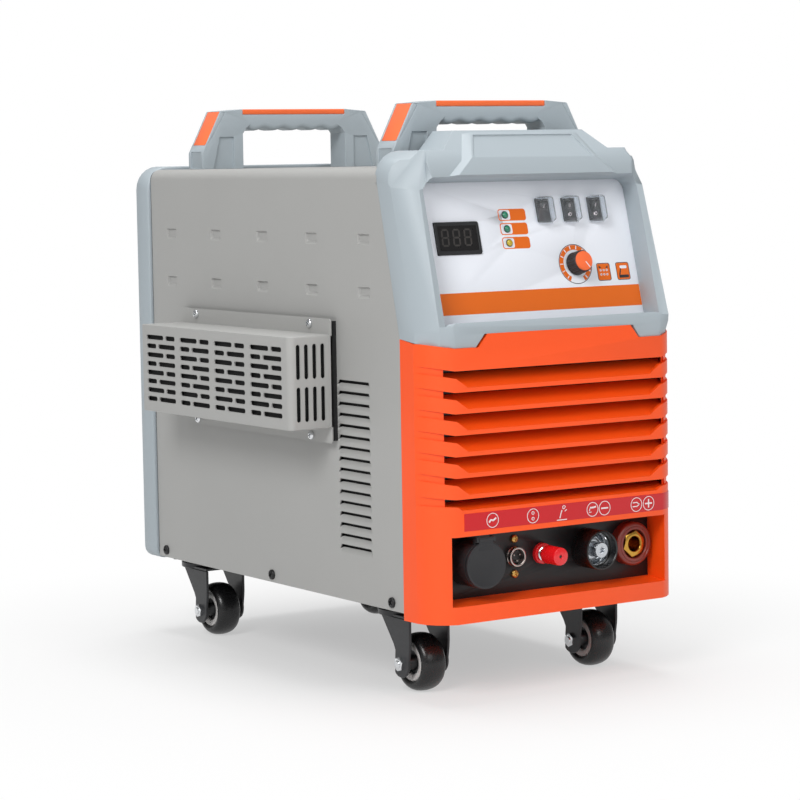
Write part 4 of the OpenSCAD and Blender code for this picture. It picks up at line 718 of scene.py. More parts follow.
# Shoulders of the upper moulding: larger rounds, a narrower hump and a droop towards the front corners
def reshapeShoulders(bm):
    shoulder = {
        "top": 384, "round": 16, "more": 10, "wall": 3.6, "near": 4, "foot": 88, "crown": 71, "crownTop": 400,
        "narrower": 4, "tuck": 95, "root": 355, "splits": (-109, -103, 103, 109),
        "droop": 12, "droopFrom": 103, "droopRun": 10, "rear": 14, "rearRun": 10, "low": 345, "lowRun": 35,
    }
    top, r, more, near, tuck = pick(shoulder, "top round more near tuck")
    middle = machine["halfWidth"] - r
    for x in shoulder["splits"]:
        splitAt(bm, (1, 0, 0), x)
    splitAt(bm, (0, 0, 1), shoulder["root"])
    for vert in bm.verts:
        across, side = abs(vert.co.x), math.copysign(1, vert.co.x)
        a, b = across - middle, vert.co.z - (top - r)
        away = math.hypot(a, b)
        if a > -0.01 and b > -0.01 and r - shoulder["wall"] < away < r + 0.5:
            vert.co.x = side * (middle - more + a * (away + more) / away)
            vert.co.z = top - r - more + b * (away + more) / away
        elif tuck < across < middle and abs(vert.co.z - top) < near:
            vert.co.x = side * (across - more / (middle - tuck) * (across - tuck))
        elif abs(across - shoulder["foot"]) < near and abs(vert.co.z - top) < near:
            vert.co.x -= side * shoulder["narrower"]
        elif abs(across - shoulder["crown"]) < near and abs(vert.co.z - shoulder["crownTop"]) < near:
            vert.co.x -= side * shoulder["narrower"]
        outward = clamp((abs(vert.co.x) - shoulder["droopFrom"]) / shoulder["droopRun"])
        forward = clamp((shoulder["rear"] - vert.co.y) / shoulder["rearRun"])
        upward = clamp((vert.co.z - shoulder["low"]) / shoulder["lowRun"])
        vert.co.z -= shoulder["droop"] * outward ** 2 * forward * upward


# The upper moulding's corners are swept outwards: rows of a height and, for the face's edge and for
# the corner, the new half width and the reach to the front
def sweepCorners(bm):
    shape = {
        "rows": ((224, ((108.5, 5.5), (119.5, 4.4))), (240, ((109.5, 5.5), (120.4, 8.5))),
                 (375, ((108.5, 5.5), (117.0, 8.0)))),
        "edge": 105, "corner": 113, "side": 131, "cornerDepth": 5, "sideDepth": 19, "fade": 16,
        "opening": 61.7, "openingMiddle": 71.5, "openingEdge": 100, "openingHalf": 112.7, "overSeam": 2,
    }
    rows = shape["rows"]
    splitAt(bm, (0, 0, 1), rows[1][0])
    toFace = leanFrame.inverted()

    def knotsAt(z):
        for (low, below), (high, above) in zip(rows, rows[1:]):
            if z <= high or high == rows[-1][0]:
                share = clamp((z - low) / (high - low))
                mixed = [[a + (b - a) * share for a, b in zip(*pair)] for pair in zip(below, above)]
                return ((0, 0, mixed[0][1]), (shape["edge"], *mixed[0]), (shape["corner"], *mixed[1]),
                        (shape["side"], shape["side"], 0))

    def between(table, x, column):
        for a, b in zip(table, table[1:]):
            if x <= b[0]:
                return a[column] + (b[column] - a[column]) * (x - a[0]) / (b[0] - a[0])
        return table[-1][column]

    reshapeShoulders(bm)
    skin = ((0, 0), (shape["edge"], 0), (shape["corner"], shape["cornerDepth"]),
            (shape["side"], shape["sideDepth"]))
    for vert in bm.verts:
        across = abs(vert.co.x)
        inFace = toFace @ vert.co
        share = clamp(1 - (-inFace.z - between(skin, across, 1)) / shape["fade"])
        knots = knotsAt(vert.co.z)
        beside = shape["openingEdge"] < across < shape["openingHalf"]
        reach = share * between(knots, across, 2)
        if beside and abs(inFace.y - shape["openingMiddle"]) < shape["opening"]:
            reach = share * knots[1][2]
        else:
            vert.co.x = math.copysign(across + share * (between(knots, across, 1) - across), vert.co.x)
        vert.co.y -= reach
    liftCorners(bm, machine["seamHeight"] + shape["overSeam"])


# Lines that run round a front corner rise towards the side
def liftCorners(bm, top):
    lift = {"rise": 4.3, "half": 108.5, "run": 22.5, "back": 21.0, "low": 85.0, "fade": 20.0}
    for vert in bm.verts:
        if vert.co.z < top:
            across = clamp((abs(vert.co.x) - lift["half"]) / lift["run"])
            along = clamp(-vert.co.y / lift["back"])
            up = clamp((vert.co.z - lift["low"]) / lift["fade"])
            vert.co.z += lift["rise"] * across * along * up


# Lower moulding: a bellied shell with slanting slats, grooves round its corners and a tray for the connectors
def makeGrille():
    grille = {
        "corner": ((131, 0), (131, -19.5), (128.8, -28.5), (123.2, -36.8), (116.2, -42.8), (108.5, -46.5)),
        "inner": ((127, 0), (127, -18.3), (125, -26.3), (119.6, -34), (113.6, -39.3), (107.5, -42.5)),
        "foot": -6.0, "base": 3.0, "front": -46.5, "seam": 233.0, "seamCorner": 222.0, "seamIn": 75.0,
        "seamOut": 84.0, "seamSide": 229.0, "spare": 8, "bendY": -19.5, "slots": 7, "top": 203.6,
        "pitch": 17.67, "gap": 6.0, "slotHalf": 116.0, "slotRear": -38.5, "endHalf": 107.2, "endSlope": 1.46,
        "lip": 3.7, "lastLip": 88.5, "slatRun": 17.0, "slatGap": 4.4, "slatThick": 2.6, "slatFoot": 2.5,
        "slatEnd": 2, "slatHalf": 118,
        "grooveFloor": ((131.2, -19.5), (127.6, -28.1), (121.9, -36.0), (115.4, -40.6)), "grooveInner": 115.4,
        "recessHalf": 112.4, "recess": ((-60, 8.3), (-44, 8.6), (-20.9, 10.5), (-20.9, 66.5), (-60, 66.5)),
        "tray": ((-115.4, -42.5, 5.6), (115.4, -20.95, 69.5)),
        "slatSpace": ((127.5, 5), (108.2, -46.46)), "slatHeights": (60, 230), "spaceShift": (-0.4, 0.3),
        "screen": ((-122, -25, 78), (122, -24, 218)),
        "stripFoot": ((-101, -46.5), (127, -31.2)), "stripHeights": (71, 85.5),
        "stripSkin": ((-101, -46.8), (108.6, -46.8), (116.4, -43.06), (123.5, -37.02), (127.3, -31.3)),
    }
    front, foot, corner, bendY = pick(grille, "front foot corner bendY")
    ahead, wide, high = -60, 150, 260  # ends of the cutting tools, clear of the shell

    def around(half):
        return [*half, *((-x, y) for x, y in reversed(half))]

    wall, base, tray = bmesh.new(), bmesh.new(), bmesh.new()
    addPlate(wall, [*around(corner), *reversed(around(grille["inner"]))], foot,
             grille["seam"] + grille["spare"])
    addPlate(base, around(corner), foot, foot + grille["base"])
    addBox(tray, *grille["tray"])
    shell = cutSolid(cutSolid(wall, base, "UNION"), tray, "UNION")

    above, beside, recess = bmesh.new(), bmesh.new(), bmesh.new()
    inside, outside, low = pick(grille, "seamIn seamOut seamCorner")
    seam = [(-outside, low), (-inside, grille["seam"]), (inside, grille["seam"]), (outside, low), (wide, low),
            (wide, high), (-wide, high), (-wide, low)]
    addPlate(above, seam, ahead, bendY + 0.1, facingY())
    side = [(bendY, low), (0, grille["seamSide"]), (10, grille["seamSide"]), (10, high), (bendY, high)]
    addPlate(beside, side, -wide, wide, facingX())
    addPlate(recess, grille["recess"], -grille["recessHalf"], grille["recessHalf"], facingX())
    for tool in (above, beside, recess):
        shell = cutSolid(shell, tool)

    slots, grooves, slats = bmesh.new(), bmesh.new(), bmesh.new()
    thick, slatFront, slatInner = grille["slatThick"], front + 0.05, front + grille["slatRun"]
    for i in range(grille["slots"]):
        high = grille["top"] - i * grille["pitch"]
        low = high - grille["gap"]
        lip = max(high - grille["pitch"] + grille["lip"], grille["lastLip"])
        lipHalf = grille["endHalf"] - (low - lip) * grille["endSlope"]
        slot = [(lipHalf, lip), (grille["endHalf"], low), (grille["slotHalf"], low),
                (grille["slotHalf"], high)]
        addPlate(slots, around(slot), ahead, grille["slotRear"], facingY())
        for mirror in (1, -1):
            floor = [(mirror * x, y) for x, y in grille["grooveFloor"]]
            outline = [*floor, (mirror * grille["grooveInner"], ahead), (mirror * wide, ahead),
                       (mirror * wide, bendY)]
            addPlate(grooves, outline[::mirror], low, high)
        back = slatInner + grille["slatEnd"]
        slatTop = high - grille["slatGap"]
        slat = [(slatFront, lip - grille["slatFoot"]), (slatFront, lip - 0.03), (slatInner, slatTop),
                (back, slatTop), (back, slatTop - thick), (front + thick, lip - grille["slatFoot"])]
        addPlate(slats, slat, -grille["slatHalf"], grille["slatHalf"], facingX())
    shell = cutSolid(cutSolid(shell, slots), grooves)
    space = bmesh.new()
    dx, dy = grille["spaceShift"]
    first, last = grille["slatSpace"]
    addPlate(space, around([first, *((x + dx, y + dy) for x, y in grille["inner"][1:-1]), last]),
             *grille["slatHeights"])
    slats = cutSolid(slats, space, "INTERSECT")
    shell = joinFlats(cutSolid(shell, slats, "UNION"))
    liftCorners(shell, grille["seam"] + grille["spare"] - 1)
    addPiece("frontGrille", shell, absOrange, "front_grille", replaces=["front_grille"], rounding=0.7,
             segments=3)
    # A dark sheet behind the slats keeps the dust out, and its near black paints the shade deep in the slots
    screen = bmesh.new()
    addBox(screen, *grille["screen"])
    addPiece("grilleScreenAndShade", screen, nylonDeepBlack, "front_grille")
    # The strip follows the moulding round its right corner
    strip = bmesh.new()
    start, end = grille["stripFoot"]
    addPlate(strip, [start, *reversed(corner[3:]), end, *reversed(grille["stripSkin"])],
             *grille["stripHeights"])
    addPiece("labelStrip", strip, vinylRed, "label_strip", replaces=["label_strip"])


# A black sponge strip that closes the gap between the cover and the rear frame; its black paints the shade in
# that gap
def makeRearGapShade():
    strip = {"foot": 2, "bend": 10, "outer": 0.3, "inner": 2.4, "from": 421.4, "to": 423.3}

    def hoop(inset):
        x, top, r = machine["halfWidth"] - inset, machine["height"] - inset, strip["bend"] - inset
        half = [(x, strip["foot"]), *arcPoints(x - r, top - r, r, 0, 90, 8)]
        return [*half, *((-a, b) for a, b in reversed(half))]

    bm = bmesh.new()
    addPlate(bm, [*hoop(strip["outer"]), *reversed(hoop(strip["inner"]))], strip["from"], strip["to"],
             facingY())
    addPiece("rearGapShadeStrip", bm, foamBlack, "rear_frame")


def makeMouldings():
    rounding = {"rear_frame": 2.6, "front_bezel": 1.6}
    rear, front = copyNode("rear_frame"), copyNode("front_bezel")
    sweepCorners(front)
    for name, bm, node in (("rearFrame", rear, "rear_frame"), ("frontBezel", front, "front_bezel")):
        addPiece(name, bm, absBlueGrey, node, replaces=[node], rounding=rounding[node], segments=3)


makeMouldings()
makeRearGapShade()
makeGrille()


# Fairing: a raised block in the middle of the upper moulding, folded over its crease, with a sunk panel
def makeFairing():
    fairing = {
        # Height, half width at the foot and at the edge, rise
        "rows": ((361.9, 85.5, 78.0, 4.2), (375.0, 70.5, 63.0, 4.4), (397.0, 59.5, 52.5, 2.2)),
        "crease": 375.0, "crownRun": 0.64, "sink": 1.0, "panelInset": 3.0, "panelSlope": 0.5, "root": 0.6,
    }
    lean = math.tan(math.radians(machine["lean"]))
    creaseY = -machine["frontReach"] + (fairing["crease"] - machine["seamHeight"]) * lean

    def onFront(x, z, out):
        below = z <= fairing["crease"]
        run = lean if below else fairing["crownRun"]
        y = creaseY + (z - fairing["crease"]) * run
        if z == fairing["crease"]:
            run = (lean + fairing["crownRun"]) / 2
        long = math.hypot(1, run)
        return x, y - out / long, z + out * run / long

    bm = bmesh.new()
    top, root = [], []
    for z, foot, edge, rise in fairing["rows"]:
        spots = ((-foot, 0.0), (-edge, rise), (edge, rise), (foot, 0.0))
        top.append([bm.verts.new(onFront(x, z, out)) for x, out in spots])
        root.append([bm.verts.new(onFront(x, z, -fairing["root"])) for x, out in spots])
    crown = None
    for i in range(2):
        for j in range(3):
            face = bm.faces.new((top[i][j], top[i][j + 1], top[i + 1][j + 1], top[i + 1][j]))
            bm.faces.new((root[i][j], root[i + 1][j], root[i + 1][j + 1], root[i][j + 1]))
            if i == 1 and j == 1:
                crown = face
    for j in range(3):
        bm.faces.new((root[0][j], root[0][j + 1], top[0][j + 1], top[0][j]))
        bm.faces.new((root[2][j], top[2][j], top[2][j + 1], root[2][j + 1]))
    for i in range(2):
        bm.faces.new((root[i][0], top[i][0], top[i + 1][0], root[i + 1][0]))
        bm.faces.new((root[i][3], root[i + 1][3], top[i + 1][3], top[i][3]))
    bmesh.ops.recalc_face_normals(bm, faces=bm.faces)
    bmesh.ops.inset_region(bm, faces=[crown], thickness=fairing["panelInset"], depth=0)
    bmesh.ops.inset_region(bm, faces=[crown], thickness=fairing["panelSlope"], depth=-fairing["sink"])
    sweepCorners(bm)
    addPiece("frontFairing", bm, absBlueGrey, "front_bezel", rounding=0.5)


makeFairing()


# Handles: rounded grips over a finger window, legs with sunk panels, rubber on the grip and the slanting ends
def makeHandles():
    handle = {
        "thick": 27, "half": 102, "window": 57.5, "endFrom": 60.5,
        "panelLow": 365, "panelTop": 400, "panelInner": 67.5, "panelOuter": 83, "panelFoot": 91.5,
        "panelSink": 2.4, "sideLow": 371, "sideHigh": 386, "sideEdge": 4, "sideSink": 1.4,
        "gripHeight": 403, "gripReach": 6, "gripRound": 5, "rounding": 1.8, "rim": 2.2,
    }
    for node, name, y in (("front_handle", "frontHandle", 48), ("rear_handle", "rearHandle", 372)):
        bm = copyNode(node)
        under = {v for v in bm.verts if abs(v.co.x) < handle["window"] + 0.5
                 and handle["gripHeight"] < v.co.z < handle["gripHeight"] + handle["gripReach"]}
        edges = [e for e in bm.edges if e.verts[0] in under and e.verts[1] in under
                 and abs(e.verts[0].co.y - e.verts[1].co.y) < 0.1
                 and abs(e.verts[0].co.x - e.verts[1].co.x) > 0.5]
        bmesh.ops.bevel(bm, geom=edges, offset=handle["gripRound"], offset_type="OFFSET", segments=5,
                        profile=0.5, affect="EDGES", clamp_overlap=True)
        cuts = bmesh.new()
        for face, sign in ((y, 1), (y + handle["thick"], -1)):
            for side in (-1, 1):
                outline = [(side * handle["panelInner"], handle["panelLow"]),
                           (side * handle["panelInner"], handle["panelTop"]),
                           (side * handle["panelOuter"], handle["panelTop"]),
                           (side * handle["panelFoot"], handle["panelLow"])]
                addPlate(cuts, outline[::side], -1, handle["panelSink"], facingY(face, sign))
        for side in (-1, 1):
            outer = side * handle["half"]
            inner = outer - side * handle["sideSink"]
            low = (min(inner, outer + side), y + handle["sideEdge"], handle["sideLow"])
            high = (max(inner, outer + side), y + handle["thick"] - handle["sideEdge"], handle["sideHigh"])
            addBox(cuts, low, high)
        cut = cutSolid(bm, cuts)
        addPiece(name, cut, absBlueGrey, node, replaces=[node], rounding=handle["rounding"], segments=3)
        soft = copyNode(node + "_inserts")
        middle = y + handle["thick"] / 2
        for vert in soft.verts:
            if abs(vert.co.x) > handle["endFrom"]:
                vert.co.y = middle + (vert.co.y - middle) * (1 - 2 * handle["rim"] / handle["thick"])
        rims = copyNode(node + "_inserts")
        bmesh.ops.delete(rims, geom=[v for v in rims.verts if abs(v.co.x) < handle["endFrom"]],
                         context="VERTS")
        twins = bmesh.ops.duplicate(rims, geom=rims.verts[:] + rims.edges[:] + rims.faces[:])["geom"]
        rear = {v for v in twins if isinstance(v, bmesh.types.BMVert)}
        for vert in rims.verts:
            start = y + (handle["thick"] - handle["rim"] if vert in rear else 0)
            vert.co.y = start + (vert.co.y - y) * handle["rim"] / handle["thick"]
        addPiece(name + "Rims", rims, absBlueGrey, node, rounding=0.6)
        addPiece(name + "Inserts", soft, rubberOrange, node + "_inserts", replaces=[node + "_inserts"],
                 rounding=1.0)


makeHandles()
print("mouldings and handles made")


# Control panel: a printed foil with a display, lamps, switches under boots and the current's knob
def makeControlPanel():
    panel = {
        "stripeLow": 20, "stripeHigh": 38.5, "halfWidth": 112.2, "film": 0.12,
        "tabs": (103.8, 91.6, 79.4), "tabLeft": -26, "tabRight": 2.7, "tabHeight": 10.2, "tabRound": 2.4,
        "tabLine": 0.8, "patchRight": -13.6, "lampU": -19, "lampRadius": 2.9, "lampRise": 2.4,
        "dialU": 47, "dialV": 58.8, "dialRadius": 17.5, "dialLine": 0.55, "bandInner": 12.6,
        "bandOuter": 16.7, "bandStart": -62, "bandSweep": 304, "ticks": 12,
        "tickRim": 0.6, "tickHalf": 0.35, "tickGrowth": 0.02,
        "icons": (76.4, 97.3), "iconV": 50.8, "iconWidth": 14.4, "iconHeight": 15.6, "iconRound": 2,
        "iconLine": 0.55, "iconGap": 0.1,
        "collar": ((-0.1, 0), (0.45, 0), (0.4, 0.5), (0.1, 0.7), (-0.1, 0.6), (-0.1, 0)),
    }
    flat = onControl(0, 0)
    film = panel["film"]

    def addSign(bm, outline):
        addPlate(bm, outline, film / 2, film * 1.6, flat)

    orange, black, white = bmesh.new(), bmesh.new(), bmesh.new()
    half, low, high = pick(panel, "halfWidth stripeLow stripeHigh")
    addPlate(orange, [(-half, low), (half, low), (half, high), (-half, high)], 0, film, flat)
    # Tabs: orange frames with a white patch round each lamp
    left, right, patchEnd, high, bend, line = pick(panel,
                                                   "tabLeft tabRight patchRight tabHeight tabRound tabLine")
    start = left + line
    for v in panel["tabs"]:
        outer = roundedRect((left + right) / 2, v, right - left, high, bend)
        patch = roundedRect((start + patchEnd) / 2, v, patchEnd - start, high - 2 * line, bend - 0.6)
        addPlate(orange, outer, 0, film, flat, [patch])
    # Dial: a thin ring round an orange band with white ticks
    u, v, r = pick(panel, "dialU dialV dialRadius")
    addPlate(black, circlePoints(u, v, r, 72), 0, film, flat, [circlePoints(u, v, r - panel["dialLine"], 72)])
    first, sweep, inner, outer, rim = pick(panel, "bandStart bandSweep bandInner bandOuter tickRim")
    last = first + sweep
    band = arcPoints(u, v, outer, first, last, 60) + arcPoints(u, v, inner, last, first, 60)
    addPlate(orange, band, 0, film, flat)
    for i in range(panel["ticks"]):
        angle = math.radians(first + sweep * (i + 0.5) / panel["ticks"])
        turn = Matrix.Translation((u, v, 0)) @ Matrix.Rotation(angle, 4, "Z")
        half = panel["tickHalf"] + panel["tickGrowth"] * (panel["ticks"] - i)
        low, high = inner + rim, outer - rim + 0.2
        tick = [(low, -half), (high, -half), (high, half), (low, half)]
        addPlate(white, tick, film / 2, film * 1.6, flat @ turn)
    # Icons: dark frames round orange fields, with simple signs for pressure and for cutting
    v, wide, high, bend = pick(panel, "iconV iconWidth iconHeight iconRound")
    line = 2 * panel["iconLine"]
    inset = line + 2 * panel["iconGap"]
    for number, u in enumerate(panel["icons"]):
        addPlate(black, roundedRect(u, v, wide, high, bend), 0, film, flat,
                 [roundedRect(u, v, wide - line, high - line, bend - 0.5)])
        addPlate(orange, roundedRect(u, v, wide - inset, high - inset, bend - 0.6), 0, film * 0.9, flat)
        if number == 0:
            for x, y in ((u + 3.3 * column, v + 1.9 * row - 0.4) for row in (-1, 1) for column in (-1, 0, 1)):
                addSign(white, circlePoints(x, y, 1.0, 16))
                addPlate(black, roundedRect(x, y, 0.8, 0.8, 0.2, 2), film, film * 2.1, flat)
            for side in (-1, 1):
                addSign(black,
                        [(u + side * 4.8, v + 5.6), (u + side * 2.2, v + 3.6), (u + side * 4.8, v + 3.4)])
        else:
            addSign(black, roundedRect(u + 0.4, v - 4.6, 10.4, 2.6, 0.5))
            addSign(white, roundedRect(u + 0.8, v + 3.6, 7.6, 2.6, 1.0))
            addSign(black, [(u - 4.8, v - 3.2), (u - 3.4, v - 3.2), (u - 1.6, v + 2.2), (u - 2.6, v + 2.6)])
    addPiece("panelInkOrange", orange, inkOrange, "control_panel")
    addPiece("panelInkBlack", black, inkBlack, "control_panel")
    addPiece("panelInkWhite", white, foilWhite, "control_panel")
    # Lamps: domed lenses in thin collars
    collars = bmesh.new()
    radius, rise = pick(panel, "lampRadius lampRise")
    angles = [math.radians(15 * i) for i in range(6)]
    lens = [(0, -2), (radius, -2),
            *((radius * math.cos(a), 0.5 + (rise - 0.5) * math.sin(a)) for a in angles), (0, rise)]
    for number, (v, glass) in enumerate(zip(panel["tabs"], (lensGreen, lensGreen, lensYellow))):
        place = onControl(panel["lampU"], v)
        addTurned("lampLens%d" % number, lens, place, 32, glass, "indicator_lamps", sharp=50,
                  replaces=["indicator_lamps"] if number == 0 else [])
        addLathe(collars, [(radius + out, up) for out, up in panel["collar"]], place, 32)
    addPiece("lampCollars", collars, nylonBlack, "indicator_lamps")


makeControlPanel()


# Display: a moulded frame, a smoked window and three unlit digits behind it
def makeDisplay():
    display = {
        "u": -71.4, "v": 85, "width": 45.2, "height": 28, "round": 2.2, "rise": 1.4,
        "windowWidth": 40, "windowHeight": 21.5, "windowRise": 0.9, "digits": (-84.3, -72.8, -61.3),
        "digitV": 85.6, "digitWidth": 7.6, "digitHeight": 15, "stroke": 1.5, "slant": 0.05, "gap": 0.25,
        "windowRound": 0.8,
    }
    flat = onControl(0, 0)
    frameMesh = bmesh.new()
    window = roundedRect(*pick(display, "u v windowWidth windowHeight windowRound"))
    outline = roundedRect(*pick(display, "u v width height round"))
    addPlate(frameMesh, outline, -2, display["rise"], flat, [window])
    addPiece("displayFrame", frameMesh, nylonBlack, "display_window", replaces=["display_window"],
             rounding=0.35)
    pane = bmesh.new()
    addPlate(pane, window, -1, display["windowRise"], flat)
    addPiece("displayPane", pane, acrylicSmoked, "display_window")
    digits = bmesh.new()
    a, b, s = display["digitWidth"] / 2, display["digitHeight"] / 2, display["stroke"] / 2
    bars = [((0, b - s), a - s, True), ((0, 0), a - s, True), ((0, s - b), a - s, True)]
    bars += [((side * (a - s), half * (b / 2 - s / 2)), b / 2 - s / 2, False) for side in (-1, 1)
             for half in (-1, 1)]
    for u in display["digits"]:
        for (x, y), reach, level in bars:
            r = reach - display["gap"]
            ends = [(-r, 0), (-r + s, s), (r - s, s), (r, 0), (r - s, -s), (-r + s, -s)]
            outline = [(x + p, y + q) if level else (x + q, y - p) for p, q in ends]
            outline = [(u + p + display["slant"] * q, display["digitV"] + q) for p, q in outline]
            addPlate(digits, outline, display["windowRise"] - 0.3, display["windowRise"] + 0.05, flat)
    addPiece("displayDigits", digits, segmentGrey, "display_window")


makeDisplay()


# Switches: marks on the rockers and clear boots over them
def makeSwitches():
    switch = {
        "places": (21.5, 49.4, 77.3), "v": 106.6, "width": 15.8, "height": 22.4, "depth": 9.4, "round": 2.2,
        "wall": 0.7, "taper": 0.9, "rim": 1.0, "rimRise": 0.9, "pivot": 1, "tilt": 12, "faceFall": 1.0,
        "faceHalf": 6.9, "markRise": 2.4, "markShare": 0.55, "mark": 3.2, "markLine": 0.55,
    }
    boots = bmesh.new()
    w, h, d, r, t = pick(switch, "width height depth round wall")
    taper, rim, rise = pick(switch, "taper rim rimRise")
    for u, body in zip(switch["places"], ("rocker_left", "rocker_middle", "rocker_right")):
        here = onControl(u, switch["v"])

        def ring(inset, z, corner):
            return [boots.verts.new(here @ Vector((x, y, z)))
                    for x, y in roundedRect(0, 0, w - 2 * inset, h - 2 * inset, max(corner, 0.3))]

        shell = [ring(-rim, 0, r + rim), ring(-rim, rise, r + rim), ring(0, rise + 0.1, r),
                 ring(taper * 0.7, d - 1.2, r), ring(taper * 0.8 + 0.35, d - 0.35, r - 0.2),
                 ring(taper + 1.2, d, r - 0.9)]
        inside = [ring(taper + 1.4, d - t, r - 1.0), ring(taper * 0.8 + t + 0.2, d - t - 0.6, r - 0.6),
                  ring(t, rise, r - t), ring(t, 0, r - t)]
        joinRings(boots, shell)
        joinRings(boots, inside + shell[:1])
        boots.faces.new(shell[-1])
        boots.faces.new(inside[0])
        # Marks: a bar on the upper half and a ring on the lower one
        marks = bmesh.new()
        tilted = Matrix.Rotation(math.radians(switch["tilt"]), 4, "X")
        rocker = onControl(u, switch["v"], -switch["pivot"]) @ tilted
        slope = math.atan2(switch["faceFall"], switch["faceHalf"])
        for half in (-1, 1):
            face = rocker @ Matrix.Translation((0, 0, switch["markRise"])) \
                @ Matrix.Rotation(half * slope, 4, "X") \
                @ Matrix.Translation((0, half * switch["faceHalf"] * switch["markShare"], 0))
            size, line = pick(switch, "mark markLine")
            if half > 0:
                addPlate(marks, roundedRect(0, 0, line, size, 0.2, 2), -0.05, 0.06, face)
            else:
                addPlate(marks, circlePoints(0, 0, size / 2, 28), -0.05, 0.06, face,
                         [circlePoints(0, 0, size / 2 - line, 28)])
        addPiece("rockerMarks" + body[7:].capitalize(), marks, inkWhite, body, body=body)
    addPiece("switchBoots", boots, bootClear, "switch_covers", replaces=["switch_covers"], sharp=60)


makeSwitches()


# Knob: a fluted grip on a skirt, with an orange cap and a white pointer
def makeKnob():
    knob = {
        "u": 47, "v": 58.8, "skirt": 10.2, "flute": 0.55, "flutes": 20, "low": 0.5, "skirtRise": 1.6,
        "height": 12, "capRadius": 8.4, "capRise": 1.7, "pointer": 0.9, "pointerStart": 1.2,
        "pointerLength": 6.4, "pointerAngle": -52,
    }
    rise, top = pick(knob, "skirtRise height")
    here = onControl(knob["u"], knob["v"])
    bm = bmesh.new()
    steps = knob["flutes"] * 8
    # Share of the skirt's radius, height, depth of the flutes
    levels = [(0.2, knob["low"], 0), (1.0, rise - 0.5, 0), (0.99, rise, 0), (0.97, rise + 0.3, 1),
              (0.955, top - 1.0, 1), (0.93, top - 0.3, 0.6), (0.88, top, 0.1)]
    rings = []
    for scale, z, depth in levels:
        ring = []
        for i in range(steps):
            angle = 2 * math.pi * i / steps
            valley = max(0.0, math.cos(knob["flutes"] * angle)) ** 0.6
            r = knob["skirt"] * scale - depth * knob["flute"] * valley
            ring.append(bm.verts.new(here @ Vector((r * math.cos(angle), r * math.sin(angle), z))))
        rings.append(ring)
    joinRings(bm, rings)
    bm.faces.new(rings[0])
    bm.faces.new(rings[-1])
    addPiece("knobGrip", bm, nylonBlack, "knob", body="knob", replaces=["knob"], sharp=40)
    r, foot, top = knob["capRadius"], top - 0.6, top + knob["capRise"]
    cap = [(0, foot), (r, foot), (r, top - 0.5), (r - 0.18, top - 0.15), (r - 0.6, top), (0, top + 0.15)]
    addTurned("knobCap", cap, here, 56, rubberOrange, "knob_cap", body="knob", replaces=["knob_cap"],
              sharp=40)
    line = bmesh.new()
    turned = here @ Matrix.Rotation(math.radians(knob["pointerAngle"]), 4, "Z")
    long = knob["pointerLength"]
    outline = roundedRect(long / 2 + knob["pointerStart"], 0, long, knob["pointer"], 0.3, 3)
    addPlate(line, outline, top - 0.2, top + 0.2, turned)
    addPiece("knobPointer", line, inkWhite, "knob_cap", body="knob")


makeKnob()
print("control panel made")


# Label strip: generic signs over the connectors, printed as thin lines
def makeLabelSigns():
    label = {
        "y": -46.9, "z": 78, "ring": 6.2, "line": 0.6, "film": 0.15, "dot": 1.5, "dotHeight": 2.4,
        "signs": (("socket", -72.6), ("pins", -31.0), ("torch", -0.1), ("torchRing", 31.9), ("minus", 45.0),
                  ("clampRing", 79.6), ("plus", 93.0)),
        "bars": {  # middle, width, height, rounding
            "torch": ((-0.6, -6.0, 10.5, 0.8, 0.3),), "minus": ((0, 0, 7.6, 1.3, 0.2),),
            "plus": ((0, 0, 7.6, 1.3, 0.2), (0, 0, 1.3, 7.6, 0.2)),
        },
        "strokes": {  # width, then points
            "socket": ((1.6, (-3.6, -1.6), (-1.6, 0.6), (0.4, -0.2), (3.6, 1.8)),),
            "torch": ((0.9, (-2.8, -4.6), (-1.8, -1.0), (-0.4, 2.2)),
                      (0.7, (0.6, 3.2), (2.2, 3.6), (3.2, 5.0), (1.6, 6.0), (0.2, 5.2), (0.6, 3.2)),
                      (0.7, (2.4, 1.0), (4.6, 2.4))),
            "torchRing": ((0.7, (-3.8, -2.2), (-1.2, -2.2)), (1.5, (-2.6, 1.6), (1.2, 1.6), (3.8, 2.2)),
                          (0.8, (-2.6, 1.2), (-3.4, -1.2))),
            "clampRing": ((0.9, (-4.0, 1.8), (0.6, 1.8), (3.6, -0.4)),
                          (0.9, (-4.0, -1.6), (0.6, -1.6), (3.6, 0.4))),
        },
    }
    bm = bmesh.new()
    line, film = pick(label, "line film")

    def addRing(x, y, radius, width, steps, place):
        addPlate(bm, circlePoints(x, y, radius, steps), 0, film, place,
                 [circlePoints(x, y, radius - width, steps)])

    for sign, x in label["signs"]:
        place = Matrix.Translation((x, label["y"], label["z"])) @ Matrix.Rotation(math.radians(90), 4, "X")
        if sign != "torch":
            addRing(0, 0, label["ring"], line, 40, place)
        if sign == "pins":
            for v in (-label["dotHeight"], label["dotHeight"]):
                addRing(0, v, label["dot"], line, 20, place)
        for number, bar in enumerate(label["bars"].get(sign, ())):
            addPlate(bm, roundedRect(*bar, 2), 0, film * (1 + 0.05 * number), place)
        for width, *points in label["strokes"].get(sign, ()):
            addStroke(bm, points, width, place, film)
    addPiece("labelSigns", bm, inkWhite, "label_strip")


makeLabelSigns()


# A hexagon nut or collar, its front corners turned down to a cone
def addHexagon(bm, radius, low, high, place, chamfer, bore=0.0, turn=0):
    corners = arcPoints(0, 0, radius, turn, turn + 300, 5)
    nut, cone = bmesh.new(), bmesh.new()
    addPlate(nut, corners, low, high, place, [circlePoints(0, 0, bore, 48)] if bore else [])
    flat = radius * 0.84
    addLathe(cone, [(0, low - 1), (radius + 1, low - 1), (radius + 1, high - chamfer), (flat, high + 0.01),
                    (0, high + 0.01)], place, 48)
    joinMesh(bm, cutSolid(nut, cone, "INTERSECT"))


